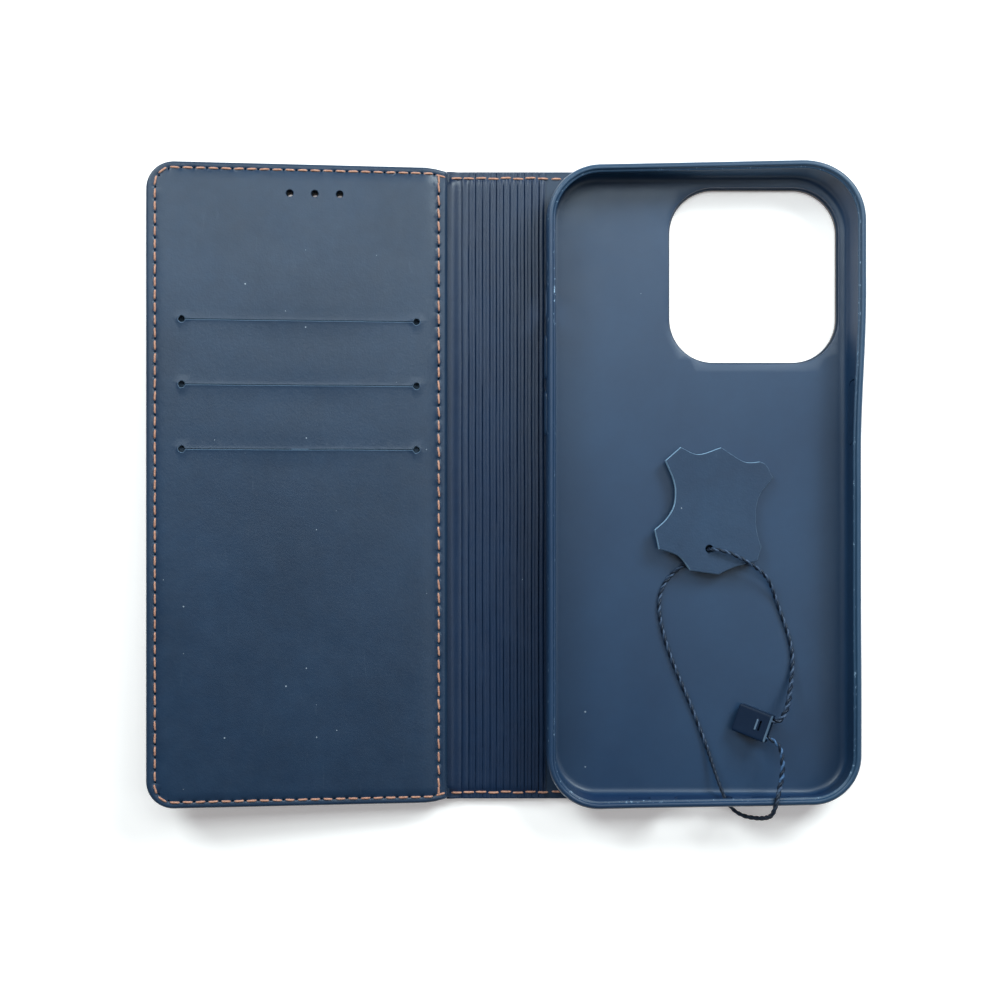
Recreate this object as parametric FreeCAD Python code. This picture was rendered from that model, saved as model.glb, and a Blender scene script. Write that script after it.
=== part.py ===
import FreeCAD, Part
import os
import math
from FreeCAD import Vector as V

os.makedirs("parts", exist_ok=True)

# ----------------------------------------------------------------------------
# Phone wallet case, lying open on its back.
# Frame: origin at the centre of the back panel's outer face, +X towards the
# tray's button side (away from the front cover), +Y towards the phone's top
# edge, +Z up out of the tray. Millimetres.
# ----------------------------------------------------------------------------

# phone that the tray holds
PHONE_W, PHONE_L, PHONE_T = 71.5, 149.6, 8.25

# leather
LEATHER = 1.2            # outer leather thickness
HALF_L = 76.45            # half height of back panel and spine
COVER_HALF_L = 76.45      # half height of the front cover

# tray
TRAY_W, TRAY_L = 74.5, 152.8
TRAY_R = 13.0
CAV_W, CAV_L = 71.8, 149.9
CAV_R = 11.6
LIP = 0.75                # how far the lip leans in over the phone
Z_TRAY0 = LEATHER
Z_FLOOR = 2.6
Z_LIP = 10.9
Z_RIM = 11.9
RIM_FILLET = 0.95
LIP_FILLET = 0.6
FLOOR_FILLET = 2.4

# camera window
CAM = (-7.4, 29.5, 34.0, 72.3)
CAM_R = 11.0
CAM_LEATHER_IN = 0.4

# openings in the tray's wall
PORT = (-6.5, 7.5, 4.1, 8.7)        # x0, x1, z0, z1
SPEAKER = (11.9, 21.5, 5.5, 7.2)
MIC = (-17.6, -12.1, 5.5, 7.2)
SWITCH = (40.6, 48.8, 4.1, 8.7)     # y0, y1, z0, z1

# key pads
PAD_GAP = 0.35
PAD_PROUD = 0.45
PAD_Z = (4.55, 8.25)
VOL_UP_Y, VOL_DOWN_Y, VOL_LEN = 31.0, 17.6, 10.6
SIDE_Y, SIDE_LEN = 17.0, 15.0

# back stiffener and keepers
BOARD_T = 0.6
BACK_BOARD = (-31.0, -70.0, 31.0, 24.5)
KEEPER_R = 5.0
KEEPERS = [(25.0, 17.0), (25.0, -42.0)]

# spine
P1 = -37.40
PITCH = 7.30
P = [P1 - i * PITCH for i in range(4)]
RIB_PITCH = 1.71
RIB_BASE = 1.65
RIB_TOP = 2.4
V_HALF = 24.5
V_FIRST = 46.5
V_LAST = 28.0
SKIN = 0.03

# front cover (own flat frame: u along the cover from the last fold, v up)
INCLINE = 5.75
U_FREE = 73.25
U_LINE = 1.95
COVER_R = 6.6
V_HEM = 2.6
V_BASE = 3.0
V_S1, V_S2, V_S3 = 3.4, 3.8, 4.2
V_TOP = 5.4
MAGNET_U, MAGNET_YS, MAGNET_R, MAGNET_T = 63.3, (17.0, -42.0), 5.0, 1.3
SLIT_YS = (39.1, 23.7, 8.45)
SLIT_U = (8.85, 65.7)
SLIT_W = 0.6
SLIT_END_R = 0.9
HOLE_US = (39.7, 33.8, 27.9)
HOLE_Y = 69.3
HOLE_R = 0.85

# thread
STITCH_PITCH = 3.0
STITCH_LEN = 2.3
STITCH_W = 0.6
STITCH_H = 0.25
HINGE_STITCH_PITCH = 3.2

# tag, cord and seal
CORD_D = 1.0
TAG_T = 1.3
TAG_TILT = 4.5
TAG_HOLE_R = 0.9
SEAL_L, SEAL_W, SEAL_T = 8.5, 6.8, 3.0
SEAL_AZ, SEAL_EL = -19.5, 26.0


# ------------------------------ helpers -------------------------------------
def rr_face(x0, y0, x1, y1, radii, z):
    """Flat face of a rectangle; radii in order x0y0, x1y0, x1y1, x0y1."""
    if not isinstance(radii, (list, tuple)):
        radii = [radii] * 4
    ra, rb, rc, rd = radii
    e = []

    def line(p, q):
        if (q - p).Length > 1e-6:
            e.append(Part.LineSegment(p, q).toShape())

    def arc(cx, cy, r, a0):
        if r <= 0:
            return
        pts = [V(cx + r * math.cos(math.radians(a)), cy + r * math.sin(math.radians(a)), z)
               for a in (a0, a0 + 45, a0 + 90)]
        e.append(Part.Arc(*pts).toShape())

    line(V(x0 + ra, y0, z), V(x1 - rb, y0, z))
    arc(x1 - rb, y0 + rb, rb, 270)
    line(V(x1, y0 + rb, z), V(x1, y1 - rc, z))
    arc(x1 - rc, y1 - rc, rc, 0)
    line(V(x1 - rc, y1, z), V(x0 + rd, y1, z))
    arc(x0 + rd, y1 - rd, rd, 90)
    line(V(x0, y1 - rd, z), V(x0, y0 + ra, z))
    arc(x0 + ra, y0 + ra, ra, 180)
    return Part.Face(Part.Wire(e))


def slab(x0, y0, x1, y1, z0, z1, radii=0):
    return rr_face(x0, y0, x1, y1, radii, z0).extrude(V(0, 0, z1 - z0))


def cbox(x0, y0, z0, x1, y1, z1):
    return Part.makeBox(x1 - x0, y1 - y0, z1 - z0, V(x0, y0, z0))


def edges_at(shape, z, tol=1e-4):
    out = []
    for ed in shape.Edges:
        b = ed.BoundBox
        if abs(b.ZMin - z) < tol and abs(b.ZMax - z) < tol:
            out.append(ed)
    return out


def xz_prism(pts, y0, y1):
    w = Part.makePolygon([V(x, y0, z) for x, z in pts] + [V(pts[0][0], y0, pts[0][1])])
    return Part.Face(w).extrude(V(0, y1 - y0, 0))


def place_cover(shape):
    s = shape.copy()
    s.rotate(V(0, 0, 0), V(0, 1, 0), INCLINE)
    s.translate(V(P[3], 0, 0))
    return s


def save(name, shape):
    solids = shape.Solids
    out = solids[0] if len(solids) == 1 else Part.makeCompound(solids)
    assert out.isValid(), name
    out.exportStep("parts/%s.step" % name)
    b = out.BoundBox
    print("%-18s solids %3d  vol %9.2f  x %8.2f %8.2f  y %8.2f %8.2f  z %6.2f %6.2f" % (
        name, len(solids), sum(s.Volume for s in solids), b.XMin, b.XMax, b.YMin, b.YMax, b.ZMin, b.ZMax))


def path_points(segs, pitch, start=0.0):
    """Evenly spaced (x, y, angle) along straight runs and arcs."""
    table = []
    total = 0.0
    for s in segs:
        if s[0] == "l":
            ln = math.hypot(s[2][0] - s[1][0], s[2][1] - s[1][1])
        else:
            ln = abs(math.radians(s[4] - s[3])) * s[2]
        table.append((total, ln, s))
        total += ln
    n = int((total - 2 * start) // pitch)
    off = (total - (n - 1) * pitch) / 2.0 if n > 0 else 0
    out = []
    for i in range(n):
        d = off + i * pitch
        for t0, ln, s in table:
            if t0 <= d <= t0 + ln:
                f = (d - t0) / ln
                if s[0] == "l":
                    (ax, ay), (bx, by) = s[1], s[2]
                    out.append((ax + (bx - ax) * f, ay + (by - ay) * f,
                                math.degrees(math.atan2(by - ay, bx - ax))))
                else:
                    (cx, cy), r, a0, a1 = s[1], s[2], s[3], s[4]
                    a = a0 + (a1 - a0) * f
                    t = a + (90 if a1 > a0 else -90)
                    out.append((cx + r * math.cos(math.radians(a)), cy + r * math.sin(math.radians(a)), t))
                break
    return out


def bars(points, z0, h, length=STITCH_LEN, width=STITCH_W, skew=0.0):
    out = []
    for x, y, a in points:
        b = Part.makeBox(length, width, h, V(-length / 2, -width / 2, 0))
        b.rotate(V(0, 0, 0), V(0, 0, 1), a + skew)
        b.translate(V(x, y, z0))
        out.append(b)
    return out


# ------------------------------ tray ----------------------------------------
hw, hl = TRAY_W / 2, TRAY_L / 2
tray = slab(-hw, -hl, hw, hl, Z_TRAY0, Z_RIM, TRAY_R)
tray = tray.makeFillet(RIM_FILLET, edges_at(tray, Z_RIM))
tray = tray.makeFillet(0.5, edges_at(tray, Z_TRAY0))
cw, cl = CAV_W / 2, CAV_L / 2
cav = slab(-cw, -cl, cw, cl, Z_FLOOR, Z_LIP, CAV_R)
cav = cav.makeFillet(FLOOR_FILLET, edges_at(cav, Z_FLOOR))
cav = cav.makeFillet(1.4, edges_at(cav, Z_LIP))
mouth = slab(-cw + LIP, -cl + LIP, cw - LIP, cl - LIP, Z_LIP - 1.0, Z_RIM + 1.0, CAV_R - LIP)
tray = tray.cut(cav).cut(mouth)
inner = [e for e in edges_at(tray, Z_RIM)
         if e.BoundBox.XMin > -cw + LIP - 0.05 and e.BoundBox.XMax < cw - LIP + 0.05
         and e.BoundBox.YMin > -cl + LIP - 0.05 and e.BoundBox.YMax < cl - LIP + 0.05]
tray = tray.makeFillet(LIP_FILLET, inner)
tray = tray.cut(slab(CAM[0], CAM[1], CAM[2], CAM[3], 0, Z_FLOOR + 2.0, CAM_R))
# recess under the floor for the stiffener board
bx0, by0, bx1, by1 = BACK_BOARD
tray = tray.cut(slab(bx0 - 0.1, by0 - 0.1, bx1 + 0.1, by1 + 0.1, Z_TRAY0 - 0.1, Z_TRAY0 + BOARD_T, 6.1))


def wall_slot_y(x0, x1, z0, z1, ya, yb, r):
    """Rounded slot through the bottom wall."""
    f = rr_face(x0, z0, x1, z1, r, 0)
    s = f.extrude(V(0, 0, yb - ya))
    s.rotate(V(0, 0, 0), V(1, 0, 0), 90)
    s.translate(V(0, yb, 0))
    return s


def wall_slot_x(y0, y1, z0, z1, xa, xb, r):
    """Rounded slot through a side wall."""
    f = rr_face(y0, z0, y1, z1, r, 0)
    s = f.extrude(V(0, 0, xb - xa))
    s.rotate(V(0, 0, 0), V(1, 0, 0), 90)
    s.rotate(V(0, 0, 0), V(0, 0, 1), 90)
    s.translate(V(xa, 0, 0))
    return s


tray = tray.cut(wall_slot_y(PORT[0], PORT[1], PORT[2], PORT[3], -hl - 1, -hl + 4.2, 2.2))
tray = tray.cut(wall_slot_y(SPEAKER[0], SPEAKER[1], SPEAKER[2], SPEAKER[3], -hl - 1, -hl + 3.2, 0.8))
tray = tray.cut(wall_slot_y(MIC[0], MIC[1], MIC[2], MIC[3], -hl - 1, -hl + 3.2, 0.8))
tray = tray.cut(wall_slot_x(SWITCH[0], SWITCH[1], SWITCH[2], SWITCH[3], -hw - 1, -hw + 3.2, 2.2))


def pad_window(yc, ln, side):
    g = PAD_GAP
    xa, xb = (-hw - 1, -hw + 2.2) if side < 0 else (hw - 2.2, hw + 1)
    return wall_slot_x(yc - ln / 2 - g, yc + ln / 2 + g, PAD_Z[0] - g, PAD_Z[1] + g, xa, xb, 1.6)


def pad(yc, ln, side):
    xi = hw - (TRAY_W - CAV_W) / 2
    xa, xb = (-hw - PAD_PROUD, -xi) if side < 0 else (xi, hw + PAD_PROUD)
    s = wall_slot_x(yc - ln / 2, yc + ln / 2, PAD_Z[0], PAD_Z[1], xa, xb, 1.3)
    xo = xa if side < 0 else xb
    eds = [e for e in s.Edges if abs(e.BoundBox.XMin - xo) < 1e-4 and abs(e.BoundBox.XMax - xo) < 1e-4]
    return s.makeFillet(0.4, eds)


for yc, ln, sd in ((VOL_UP_Y, VOL_LEN, -1), (VOL_DOWN_Y, VOL_LEN, -1), (SIDE_Y, SIDE_LEN, 1)):
    tray = tray.cut(pad_window(yc, ln, sd))
save("phone_shell", tray)
vol_up = pad(VOL_UP_Y, VOL_LEN, -1)
vol_dn = pad(VOL_DOWN_Y, VOL_LEN, -1)
side_k = pad(SIDE_Y, SIDE_LEN, 1)
save("volume_up_pad", vol_up)
save("volume_down_pad", vol_dn)
save("side_button_pad", side_k)

# ------------------------------ back panel ----------------------------------
BX1 = 37.4
back = slab(P1 + SKIN, -HALF_L, BX1, HALF_L, 0, LEATHER, [0, TRAY_R, TRAY_R, 0])
back = back.cut(slab(CAM[0] + CAM_LEATHER_IN, CAM[1] + CAM_LEATHER_IN, CAM[2] - CAM_LEATHER_IN,
                     CAM[3] - CAM_LEATHER_IN, -1, LEATHER + 1, CAM_R - CAM_LEATHER_IN))
# stitching groove on the outer face, three sides
gi = 1.8
groove = slab(P1 - 2, -HALF_L + gi - 0.35, BX1 - gi + 0.35, HALF_L - gi + 0.35, -0.1, 0.35,
              [0, TRAY_R - gi + 0.35, TRAY_R - gi + 0.35, 0])
groove = groove.cut(slab(P1 - 3, -HALF_L + gi + 0.35, BX1 - gi - 0.35, HALF_L - gi - 0.35, -0.2, 0.45,
                         [0, TRAY_R - gi - 0.35, TRAY_R - gi - 0.35, 0]))
back = back.cut(groove)
save("back_leather", back)

board = slab(bx0, by0, bx1, by1, LEATHER, LEATHER + BOARD_T, 6.0)
keepers = []
for kx, ky in KEEPERS:
    board = board.cut(Part.makeCylinder(KEEPER_R + 0.05, 2, V(kx, ky, LEATHER - 0.5)))
    keepers.append(Part.makeCylinder(KEEPER_R, BOARD_T, V(kx, ky, LEATHER)))
save("back_board", board)
save("keeper_plates", Part.makeCompound(keepers))

rb = TRAY_R - gi
segs = [("l", (P1 + 0.5, -HALF_L + gi), (BX1 - TRAY_R, -HALF_L + gi)),
        ("a", (BX1 - TRAY_R, -HALF_L + TRAY_R), rb, 270, 360),
        ("l", (BX1 - gi, -HALF_L + TRAY_R), (BX1 - gi, HALF_L - TRAY_R)),
        ("a", (BX1 - TRAY_R, HALF_L - TRAY_R), rb, 0, 90),
        ("l", (BX1 - TRAY_R, HALF_L - gi), (P1 + 0.5, HALF_L - gi))]
bs = bars(path_points(segs, STITCH_PITCH), 0.02, 0.33, width=0.55)
top_x = [P1 + 1.45 + i * STITCH_PITCH for i in range(3)]
bs += bars([(x, sy * (HALF_L - gi), 0) for x in top_x for sy in (-1, 1)], LEATHER, STITCH_H)
bs = [b for b in bs if b.common(tray).Volume < 1e-6]
save("back_stitching", Part.makeCompound(bs))


# ------------------------------ spine ---------------------------------------
def strip(i, z0, z1, right, left, y):
    """Trapezium strip between pivots i and i+1, faces leaning back from them."""
    xr, xl = P[i] - SKIN, P[i + 1] + SKIN
    tr, tl = math.tan(math.radians(right)), math.tan(math.radians(left))
    return xz_prism([(xr - z0 * tr, z0), (xr - z1 * tr, z1), (xl + z1 * tl, z1), (xl + z0 * tl, z0)], -y, y)


leans = [(V_FIRST, V_HALF), (V_HALF, V_HALF), (V_HALF, V_LAST)]
groove_s = []
for sy in (-1, 1):
    y = sy * (HALF_L - gi)
    groove_s.append(cbox(P[3] - 3, y - 0.35, -0.1, P1 + 3, y + 0.35, 0.35))
groove_s = Part.makeCompound(groove_s)
ribs_x0 = P1 - 1.4
for i, tag in enumerate("abc"):
    r, l = leans[i]
    lea = strip(i, 0, LEATHER, r, l, HALF_L).cut(groove_s)
    save("spine_leather_" + tag, lea)
    rib = strip(i, LEATHER, RIB_TOP, r, l, HALF_L - 0.3)
    # grooves between ribs
    k = 0
    cuts = []
    x = ribs_x0
    while x > P[3]:
        if P[i + 1] - 1 < x < P[i] + 1:
            cuts.append(xz_prism([(x - 0.22, RIB_TOP + 0.1), (x - 0.12, RIB_BASE), (x + 0.12, RIB_BASE),
                                  (x + 0.22, RIB_TOP + 0.1)], -HALF_L, HALF_L))
        x -= RIB_PITCH
    for c in cuts:
        rib = rib.cut(c)
    sol = [s for s in rib.Solids if s.Volume > 1.0]
    save("spine_ribs_" + tag, Part.makeCompound(sol) if len(sol) > 1 else sol[0])
    xr = P[i] - LEATHER * 0 - RIB_TOP * math.tan(math.radians(r))
    xl = P[i + 1] + RIB_TOP * math.tan(math.radians(l))
    n = 2 if (xr - xl) > 4.7 else 1
    pts = []
    for sy in (-1, 1):
        c = (xr + xl) / 2
        xs = [c] if n == 1 else [c - 1.25, c + 1.25]
        pts += [(q, sy * (HALF_L - gi), 0) for q in xs]
    ln = min(2.2, (xr - xl) / n - 0.25)
    thread = bars(pts, RIB_TOP, STITCH_H, length=ln)
    low = [(P[i] - SKIN - 1.9, 0), (P[i + 1] + SKIN + 1.9, 0)]
    pts = [(q[0], sy * (HALF_L - gi), 0) for q in low for sy in (-1, 1)]
    thread += bars(pts, 0.02, 0.33, length=2.2, width=0.55)
    save("spine_stitching_" + tag, Part.makeCompound(thread))


# ------------------------------ front cover ---------------------------------
def cslab(u0, u1, half, v0, v1, r_free, r_hinge=0.0):
    return slab(-u1, -half, -u0, half, v0, v1, [r_free, r_hinge, r_hinge, r_free])


def cover_holes(v0, v1):
    return Part.makeCompound([Part.makeCylinder(HOLE_R, v1 - v0, V(-u, HOLE_Y, v0)) for u in HOLE_US])


leather = cslab(SKIN, U_FREE, COVER_HALF_L, 0, LEATHER, COVER_R)
hem = cslab(U_LINE + 1.3, U_FREE, COVER_HALF_L, LEATHER, V_HEM, COVER_R)
hem = hem.cut(cslab(U_LINE - 1, U_FREE - 3.6, COVER_HALF_L - 3.6, LEATHER - 0.1, V_HEM + 0.1, COVER_R - 3.6))
leather = leather.fuse(hem)
# lean at the last fold
tl = math.tan(math.radians(V_HALF + 1.0))
leather = leather.cut(xz_prism([(0.5, -0.5), (0.5, 3), (-SKIN - 3 * tl, 3), (-SKIN, 0), (-SKIN, -0.5)], -90, 90))
gc = 2.15
cg = cslab(1.0, U_FREE - gc + 0.42, COVER_HALF_L - 1.6 + 0.42, -0.1, 0.35, 4.45)
cg = cg.cut(cslab(4.0 + 0.35, U_FREE - gc - 0.42, COVER_HALF_L - 1.6 - 0.42, -0.2, 0.45, 3.95))
cg = cg.cut(cbox(-(4.0 - 0.35), -COVER_HALF_L + 2.2, -0.3, 0, COVER_HALF_L - 2.2, 0.5))
leather = leather.cut(cg).cut(cover_holes(-1, 4)).removeSplitter()
save("cover_leather", place_cover(leather))

cboard = cslab(U_LINE + 1.4, U_FREE - 3.7, COVER_HALF_L - 3.7, LEATHER, V_HEM, COVER_R - 3.7)
mags = []
for my in MAGNET_YS:
    cboard = cboard.cut(Part.makeCylinder(MAGNET_R + 0.05, 4, V(-MAGNET_U, my, 0)))
    mags.append(place_cover(Part.makeCylinder(MAGNET_R, MAGNET_T, V(-MAGNET_U, my, LEATHER))))
cboard = cboard.cut(cover_holes(0, 4))
save("cover_board", place_cover(cboard))
save("cover_magnets", Part.makeCompound(mags))


def sheet(v0, v1, top):
    s = cslab(U_LINE + 1.3, U_FREE - 0.6, COVER_HALF_L - 0.6, v0, v1, COVER_R - 0.6)
    if top < COVER_HALF_L - 1:
        s = s.cut(cbox(-100, top, v0 - 1, 10, 100, v1 + 1))
    else:
        s = s.cut(cover_holes(v0 - 1, v1 + 1))
    return s


save("pocket_base", place_cover(sheet(V_HEM, V_BASE, 100)))
save("card_pocket_top", place_cover(sheet(V_BASE, V_S1, 100)))
save("card_pocket_middle", place_cover(sheet(V_S1, V_S2, SLIT_YS[1] + 5.0)))
save("card_pocket_bottom", place_cover(sheet(V_S2, V_S3, SLIT_YS[2] + 5.0)))

lining = cslab(U_LINE, U_FREE, COVER_HALF_L, V_S3, V_TOP, COVER_R)
lining = lining.fuse(cbox(-U_LINE - 1.2, -COVER_HALF_L, LEATHER + 0.0, -U_LINE, COVER_HALF_L, V_S3 + 0.2))
lining = lining.cut(cbox(-U_LINE - 1.2, -COVER_HALF_L - 1, LEATHER - 1, -U_LINE + 1, COVER_HALF_L + 1, LEATHER + 0.02))
for sy in SLIT_YS:
    a, b = SLIT_U
    lining = lining.cut(cbox(-b + SLIT_END_R, sy - SLIT_W / 2, V_S3 - 1, -a - SLIT_END_R, sy + SLIT_W / 2, V_TOP + 1))
    for u in (a + SLIT_END_R, b - SLIT_END_R):
        lining = lining.cut(Part.makeCylinder(SLIT_END_R, 4, V(-u, sy, V_S3 - 0.01)))
lining = lining.cut(cover_holes(V_S3 - 1, V_TOP + 1)).removeSplitter()
save("cover_lining", place_cover(lining))

# thread round the cover's three free sides and along the hinge side
su, sh, sr = U_FREE - gc, COVER_HALF_L - 1.6, 4.2
segs = [("l", (-U_LINE - 0.3, -sh), (-su + sr, -sh)),
        ("a", (-su + sr, -sh + sr), sr, 270, 180),
        ("l", (-su, -sh + sr), (-su, sh - sr)),
        ("a", (-su + sr, sh - sr), sr, 180, 90),
        ("l", (-su + sr, sh), (-U_LINE - 0.3, sh))]
cp = path_points(segs, STITCH_PITCH)
st = bars(cp, V_TOP, STITCH_H)
n = int((2 * COVER_HALF_L - 4.5) // HINGE_STITCH_PITCH)
hp = [(-4.0, (i - (n - 1) / 2.0) * HINGE_STITCH_PITCH, 90) for i in range(n)]
st += bars(hp, V_TOP, STITCH_H, skew=6)
st += bars([q for q in cp if q[0] < -6.0], 0.02, 0.33, width=0.55)
st += bars(hp, 0.02, 0.33, width=0.55)
save("cover_stitching", place_cover(Part.makeCompound(st)))

# ------------------------------ hang tag ------------------------------------
TAG_OUT = [(-4.87, 8.93), (-0.77, 7.24), (5.02, 8.93), (10.57, 5.55), (12.50, 5.31), (14.43, 5.55),
           (15.88, 4.83), (17.57, 1.69), (14.43, -2.17), (13.46, -4.83), (13.22, -7.72), (13.46, -11.58),
           (14.43, -14.96), (13.46, -18.10), (11.05, -18.82), (7.67, -19.78), (4.05, -21.47),
           (-2.70, -20.51), (-5.12, -17.37), (-7.53, -16.17), (-10.18, -15.44), (-11.15, -10.86),
           (-8.49, -8.44), (-6.56, -5.31), (-6.08, -1.69), (-6.56, 1.21), (-8.49, 5.79)]
TAG_HOLE = (1.88, -15.44)
TAG_LOW = (17.2, 3.4)                     # the corner that touches the floor
TAG_DIR = (-0.747, -0.664)                # uphill direction
zt = Z_FLOOR + 0.15
curve = Part.BSplineCurve()
curve.interpolate([V(x, y, 0) for x, y in TAG_OUT], True)
tface = Part.Face(Part.Wire([curve.toShape()]))
tagb = tface.extrude(V(0, 0, TAG_T))
tagb = tagb.cut(Part.makeCylinder(TAG_HOLE_R, TAG_T + 2, V(TAG_HOLE[0], TAG_HOLE[1], -1)))
ax = V(-TAG_DIR[1], TAG_DIR[0], 0)        # horizontal axis across the uphill direction


def tag_place(s):
    s = s.copy()
    s.rotate(V(TAG_LOW[0], TAG_LOW[1], 0), ax, -TAG_TILT)
    s.translate(V(0, 0, zt))
    return s


tagb = tag_place(tagb)
dz = tagb.BoundBox.ZMin
tagb.translate(V(0, 0, zt - dz))
lift = zt - dz
save("hang_tag", tagb)
up = V(0, 0, 1)
rot = FreeCAD.Rotation(ax, -TAG_TILT)
tag_n = rot.multVec(up)
hc = rot.multVec(V(TAG_HOLE[0] - TAG_LOW[0], TAG_HOLE[1] - TAG_LOW[1], TAG_T / 2)) + V(TAG_LOW[0], TAG_LOW[1], zt + lift)
print("tag hole centre (mm) %.3f %.3f %.3f  normal %.5f %.5f %.5f" % (hc.x, hc.y, hc.z, tag_n.x, tag_n.y, tag_n.z))

# ------------------------------ seal ----------------------------------------
a, el = math.radians(SEAL_AZ), math.radians(SEAL_EL)
e1 = V(math.cos(el) * math.cos(a), math.cos(el) * math.sin(a), math.sin(el))
e2 = V(-math.sin(a), math.cos(a), 0)
e3 = e1.cross(e2)
TOPC = V(11.95, -56.9, 0)
sc = V(TOPC.x, TOPC.y, Z_FLOOR - 0.07 + SEAL_L / 2 * math.sin(el) + SEAL_T / 2 * math.cos(el)) - V(e3.x, e3.y, 0) * (SEAL_T / 2)
m = FreeCAD.Matrix(e1.x, e2.x, e3.x, sc.x, e1.y, e2.y, e3.y, sc.y, e1.z, e2.z, e3.z, sc.z, 0, 0, 0, 1)
house = Part.makeBox(SEAL_L, SEAL_W, SEAL_T, V(-SEAL_L / 2, -SEAL_W / 2, -SEAL_T / 2))
house = house.makeFillet(0.35, house.Edges)
HOLE_OFF = 2.05
HOLE_DEEP = 1.2
house = house.cut(Part.makeCylinder(0.65, 3, V(SEAL_L / 2 - HOLE_DEEP, HOLE_OFF, 0), V(1, 0, 0)))
house = house.cut(Part.makeCylinder(0.9, 8, V(SEAL_L / 2 - 6.0, -HOLE_OFF + 0.1, 0), V(1, 0, 0)))
house = house.cut(cbox(SEAL_L / 2 - 3.4, -1.3, SEAL_T / 2 - 0.55, SEAL_L / 2 - 2.4, 1.3, SEAL_T / 2 + 1))
pin = Part.makeCylinder(0.55, 3.2, V(SEAL_L / 2 - 5.4, -HOLE_OFF + 0.1, 0), V(1, 0, 0))
head = Part.makeCone(0.45, 0.82, 0.9, V(SEAL_L / 2 - 5.6, -HOLE_OFF + 0.1, 0), V(1, 0, 0))
flange = Part.makeCylinder(0.78, 0.6, V(SEAL_L / 2 - 2.4, -HOLE_OFF + 0.1, 0), V(1, 0, 0))
pin = pin.fuse([head, flange]).removeSplitter()
house.transformShape(m)
pin.transformShape(m)
save("seal_housing", house)
save("seal_pin", pin)


def seal_pt(u, w, t=0.0):
    return sc + e1 * u + e2 * w + e3 * t


# ------------------------------ cord ----------------------------------------
start = seal_pt(SEAL_L / 2 - HOLE_DEEP, HOLE_OFF)
end = seal_pt(SEAL_L / 2 - 1.8, -HOLE_OFF + 0.1)
s_out = seal_pt(SEAL_L / 2 + 0.9, HOLE_OFF)
e_out = seal_pt(SEAL_L / 2 + 0.8, -HOLE_OFF + 0.1)
ROUTE = [
    (start.x, start.y, start.z),
    (s_out.x, s_out.y, s_out.z),
    (19.3, -55.3, 8.35),
    (20.8, -52.2, 7.1),
    (21.7, -48.6, 5.1),
    (22.4, -44.9, 3.6),
    (22.6, -41.0, 3.15),
    (21.7, -36.6, 3.15),
    (20.1, -32.0, 3.15),
    (18.5, -27.6, 3.25),
    (17.1, -24.0, 4.4),
    (15.2, -21.3, 5.6),
    (12.3, -19.2, 6.5),
    (8.7, -17.1, 7.0),
    (5.4, -15.75, 7.15),
    (2.06, -15.28, 7.0),
    (1.87, -15.44, 3.3),
    (-1.3, -17.6, 3.15),
    (-5.0, -20.1, 3.15),
    (-7.9, -22.7, 3.15),
    (-9.6, -26.2, 3.15),
    (-9.9, -30.4, 3.15),
    (-8.9, -35.6, 3.15),
    (-7.2, -41.0, 3.15),
    (-5.0, -46.6, 3.15),
    (-2.6, -52.0, 3.15),
    (-0.4, -57.6, 3.15),
    (1.7, -63.2, 3.4),
    (3.3, -68.4, 4.4),
    (4.7, -72.6, 5.35),
    (6.0, -75.9, 5.6),
    (7.9, -78.35, 5.2),
    (10.3, -79.65, 5.4),
    (12.9, -79.75, 7.0),
    (14.8, -79.2, 9.3),
    (15.8, -78.1, 11.6),
    (16.35, -76.2, 12.55),
    (17.0, -73.7, 12.5),
    (17.9, -70.9, 11.3),
    (18.85, -67.6, 9.9),
    (18.8, -64.0, 8.6),
    (18.2, -62.0, 8.85),
    (e_out.x, e_out.y, e_out.z),
    (end.x, end.y, end.z),
]
rp = [V(*p) for p in ROUTE]
rad = [None] * len(rp)
for i in range(1, len(rp) - 1):
    u, w = rp[i] - rp[i - 1], rp[i + 1] - rp[i]
    turn = u.getAngle(w)
    rad[i] = 0.45 * min(u.Length, w.Length) / math.tan(turn / 2.0)
edges = []
cur = rp[0]
length = 0.0
for i in range(1, len(rp) - 1):
    d1 = (rp[i] - rp[i - 1]).normalize()
    d2 = (rp[i + 1] - rp[i]).normalize()
    turn = d1.getAngle(d2)
    t = rad[i] * math.tan(turn / 2.0)
    a1 = rp[i] - d1 * t
    a2 = rp[i] + d2 * t
    bis = (d2 - d1).normalize()
    mid = rp[i] + bis * (math.sqrt(rad[i] ** 2 + t ** 2) - rad[i])
    edges.append(Part.LineSegment(cur, a1).toShape())
    edges.append(Part.Arc(a1, mid, a2).toShape())
    length += (a1 - cur).Length + rad[i] * turn
    cur = a2
edges.append(Part.LineSegment(cur, rp[-1]).toShape())
length += (rp[-1] - cur).Length
wire = Part.Wire(edges)
d0 = (rp[1] - rp[0]).normalize()
circ = Part.Wire([Part.Circle(rp[0], d0, CORD_D / 2).toShape()])
cord = wire.makePipeShell([circ], True, False)
runs = [(rp[i + 1] - rp[i]).Length for i in range(len(rp) - 1)]
print("cord runs", " ".join("%.1f" % r for r in runs))
print("cord turns", " ".join("%.0f" % math.degrees((rp[i] - rp[i - 1]).getAngle(rp[i + 1] - rp[i])) for i in range(1, len(rp) - 1)))
print("cord radii", " ".join("%.1f" % r for r in rad[1:-1]))
print("cord length %.2f  volume %.3f  section x length %.3f  wire %.2f" % (
    length, cord.Volume, math.pi * CORD_D ** 2 / 4 * length, wire.Length))
save("tag_cord", cord)
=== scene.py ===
import bpy
import bmesh
import math
import random
import numpy as np
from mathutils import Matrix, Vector, noise
from mathutils.geometry import delaunay_2d_cdt


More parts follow.
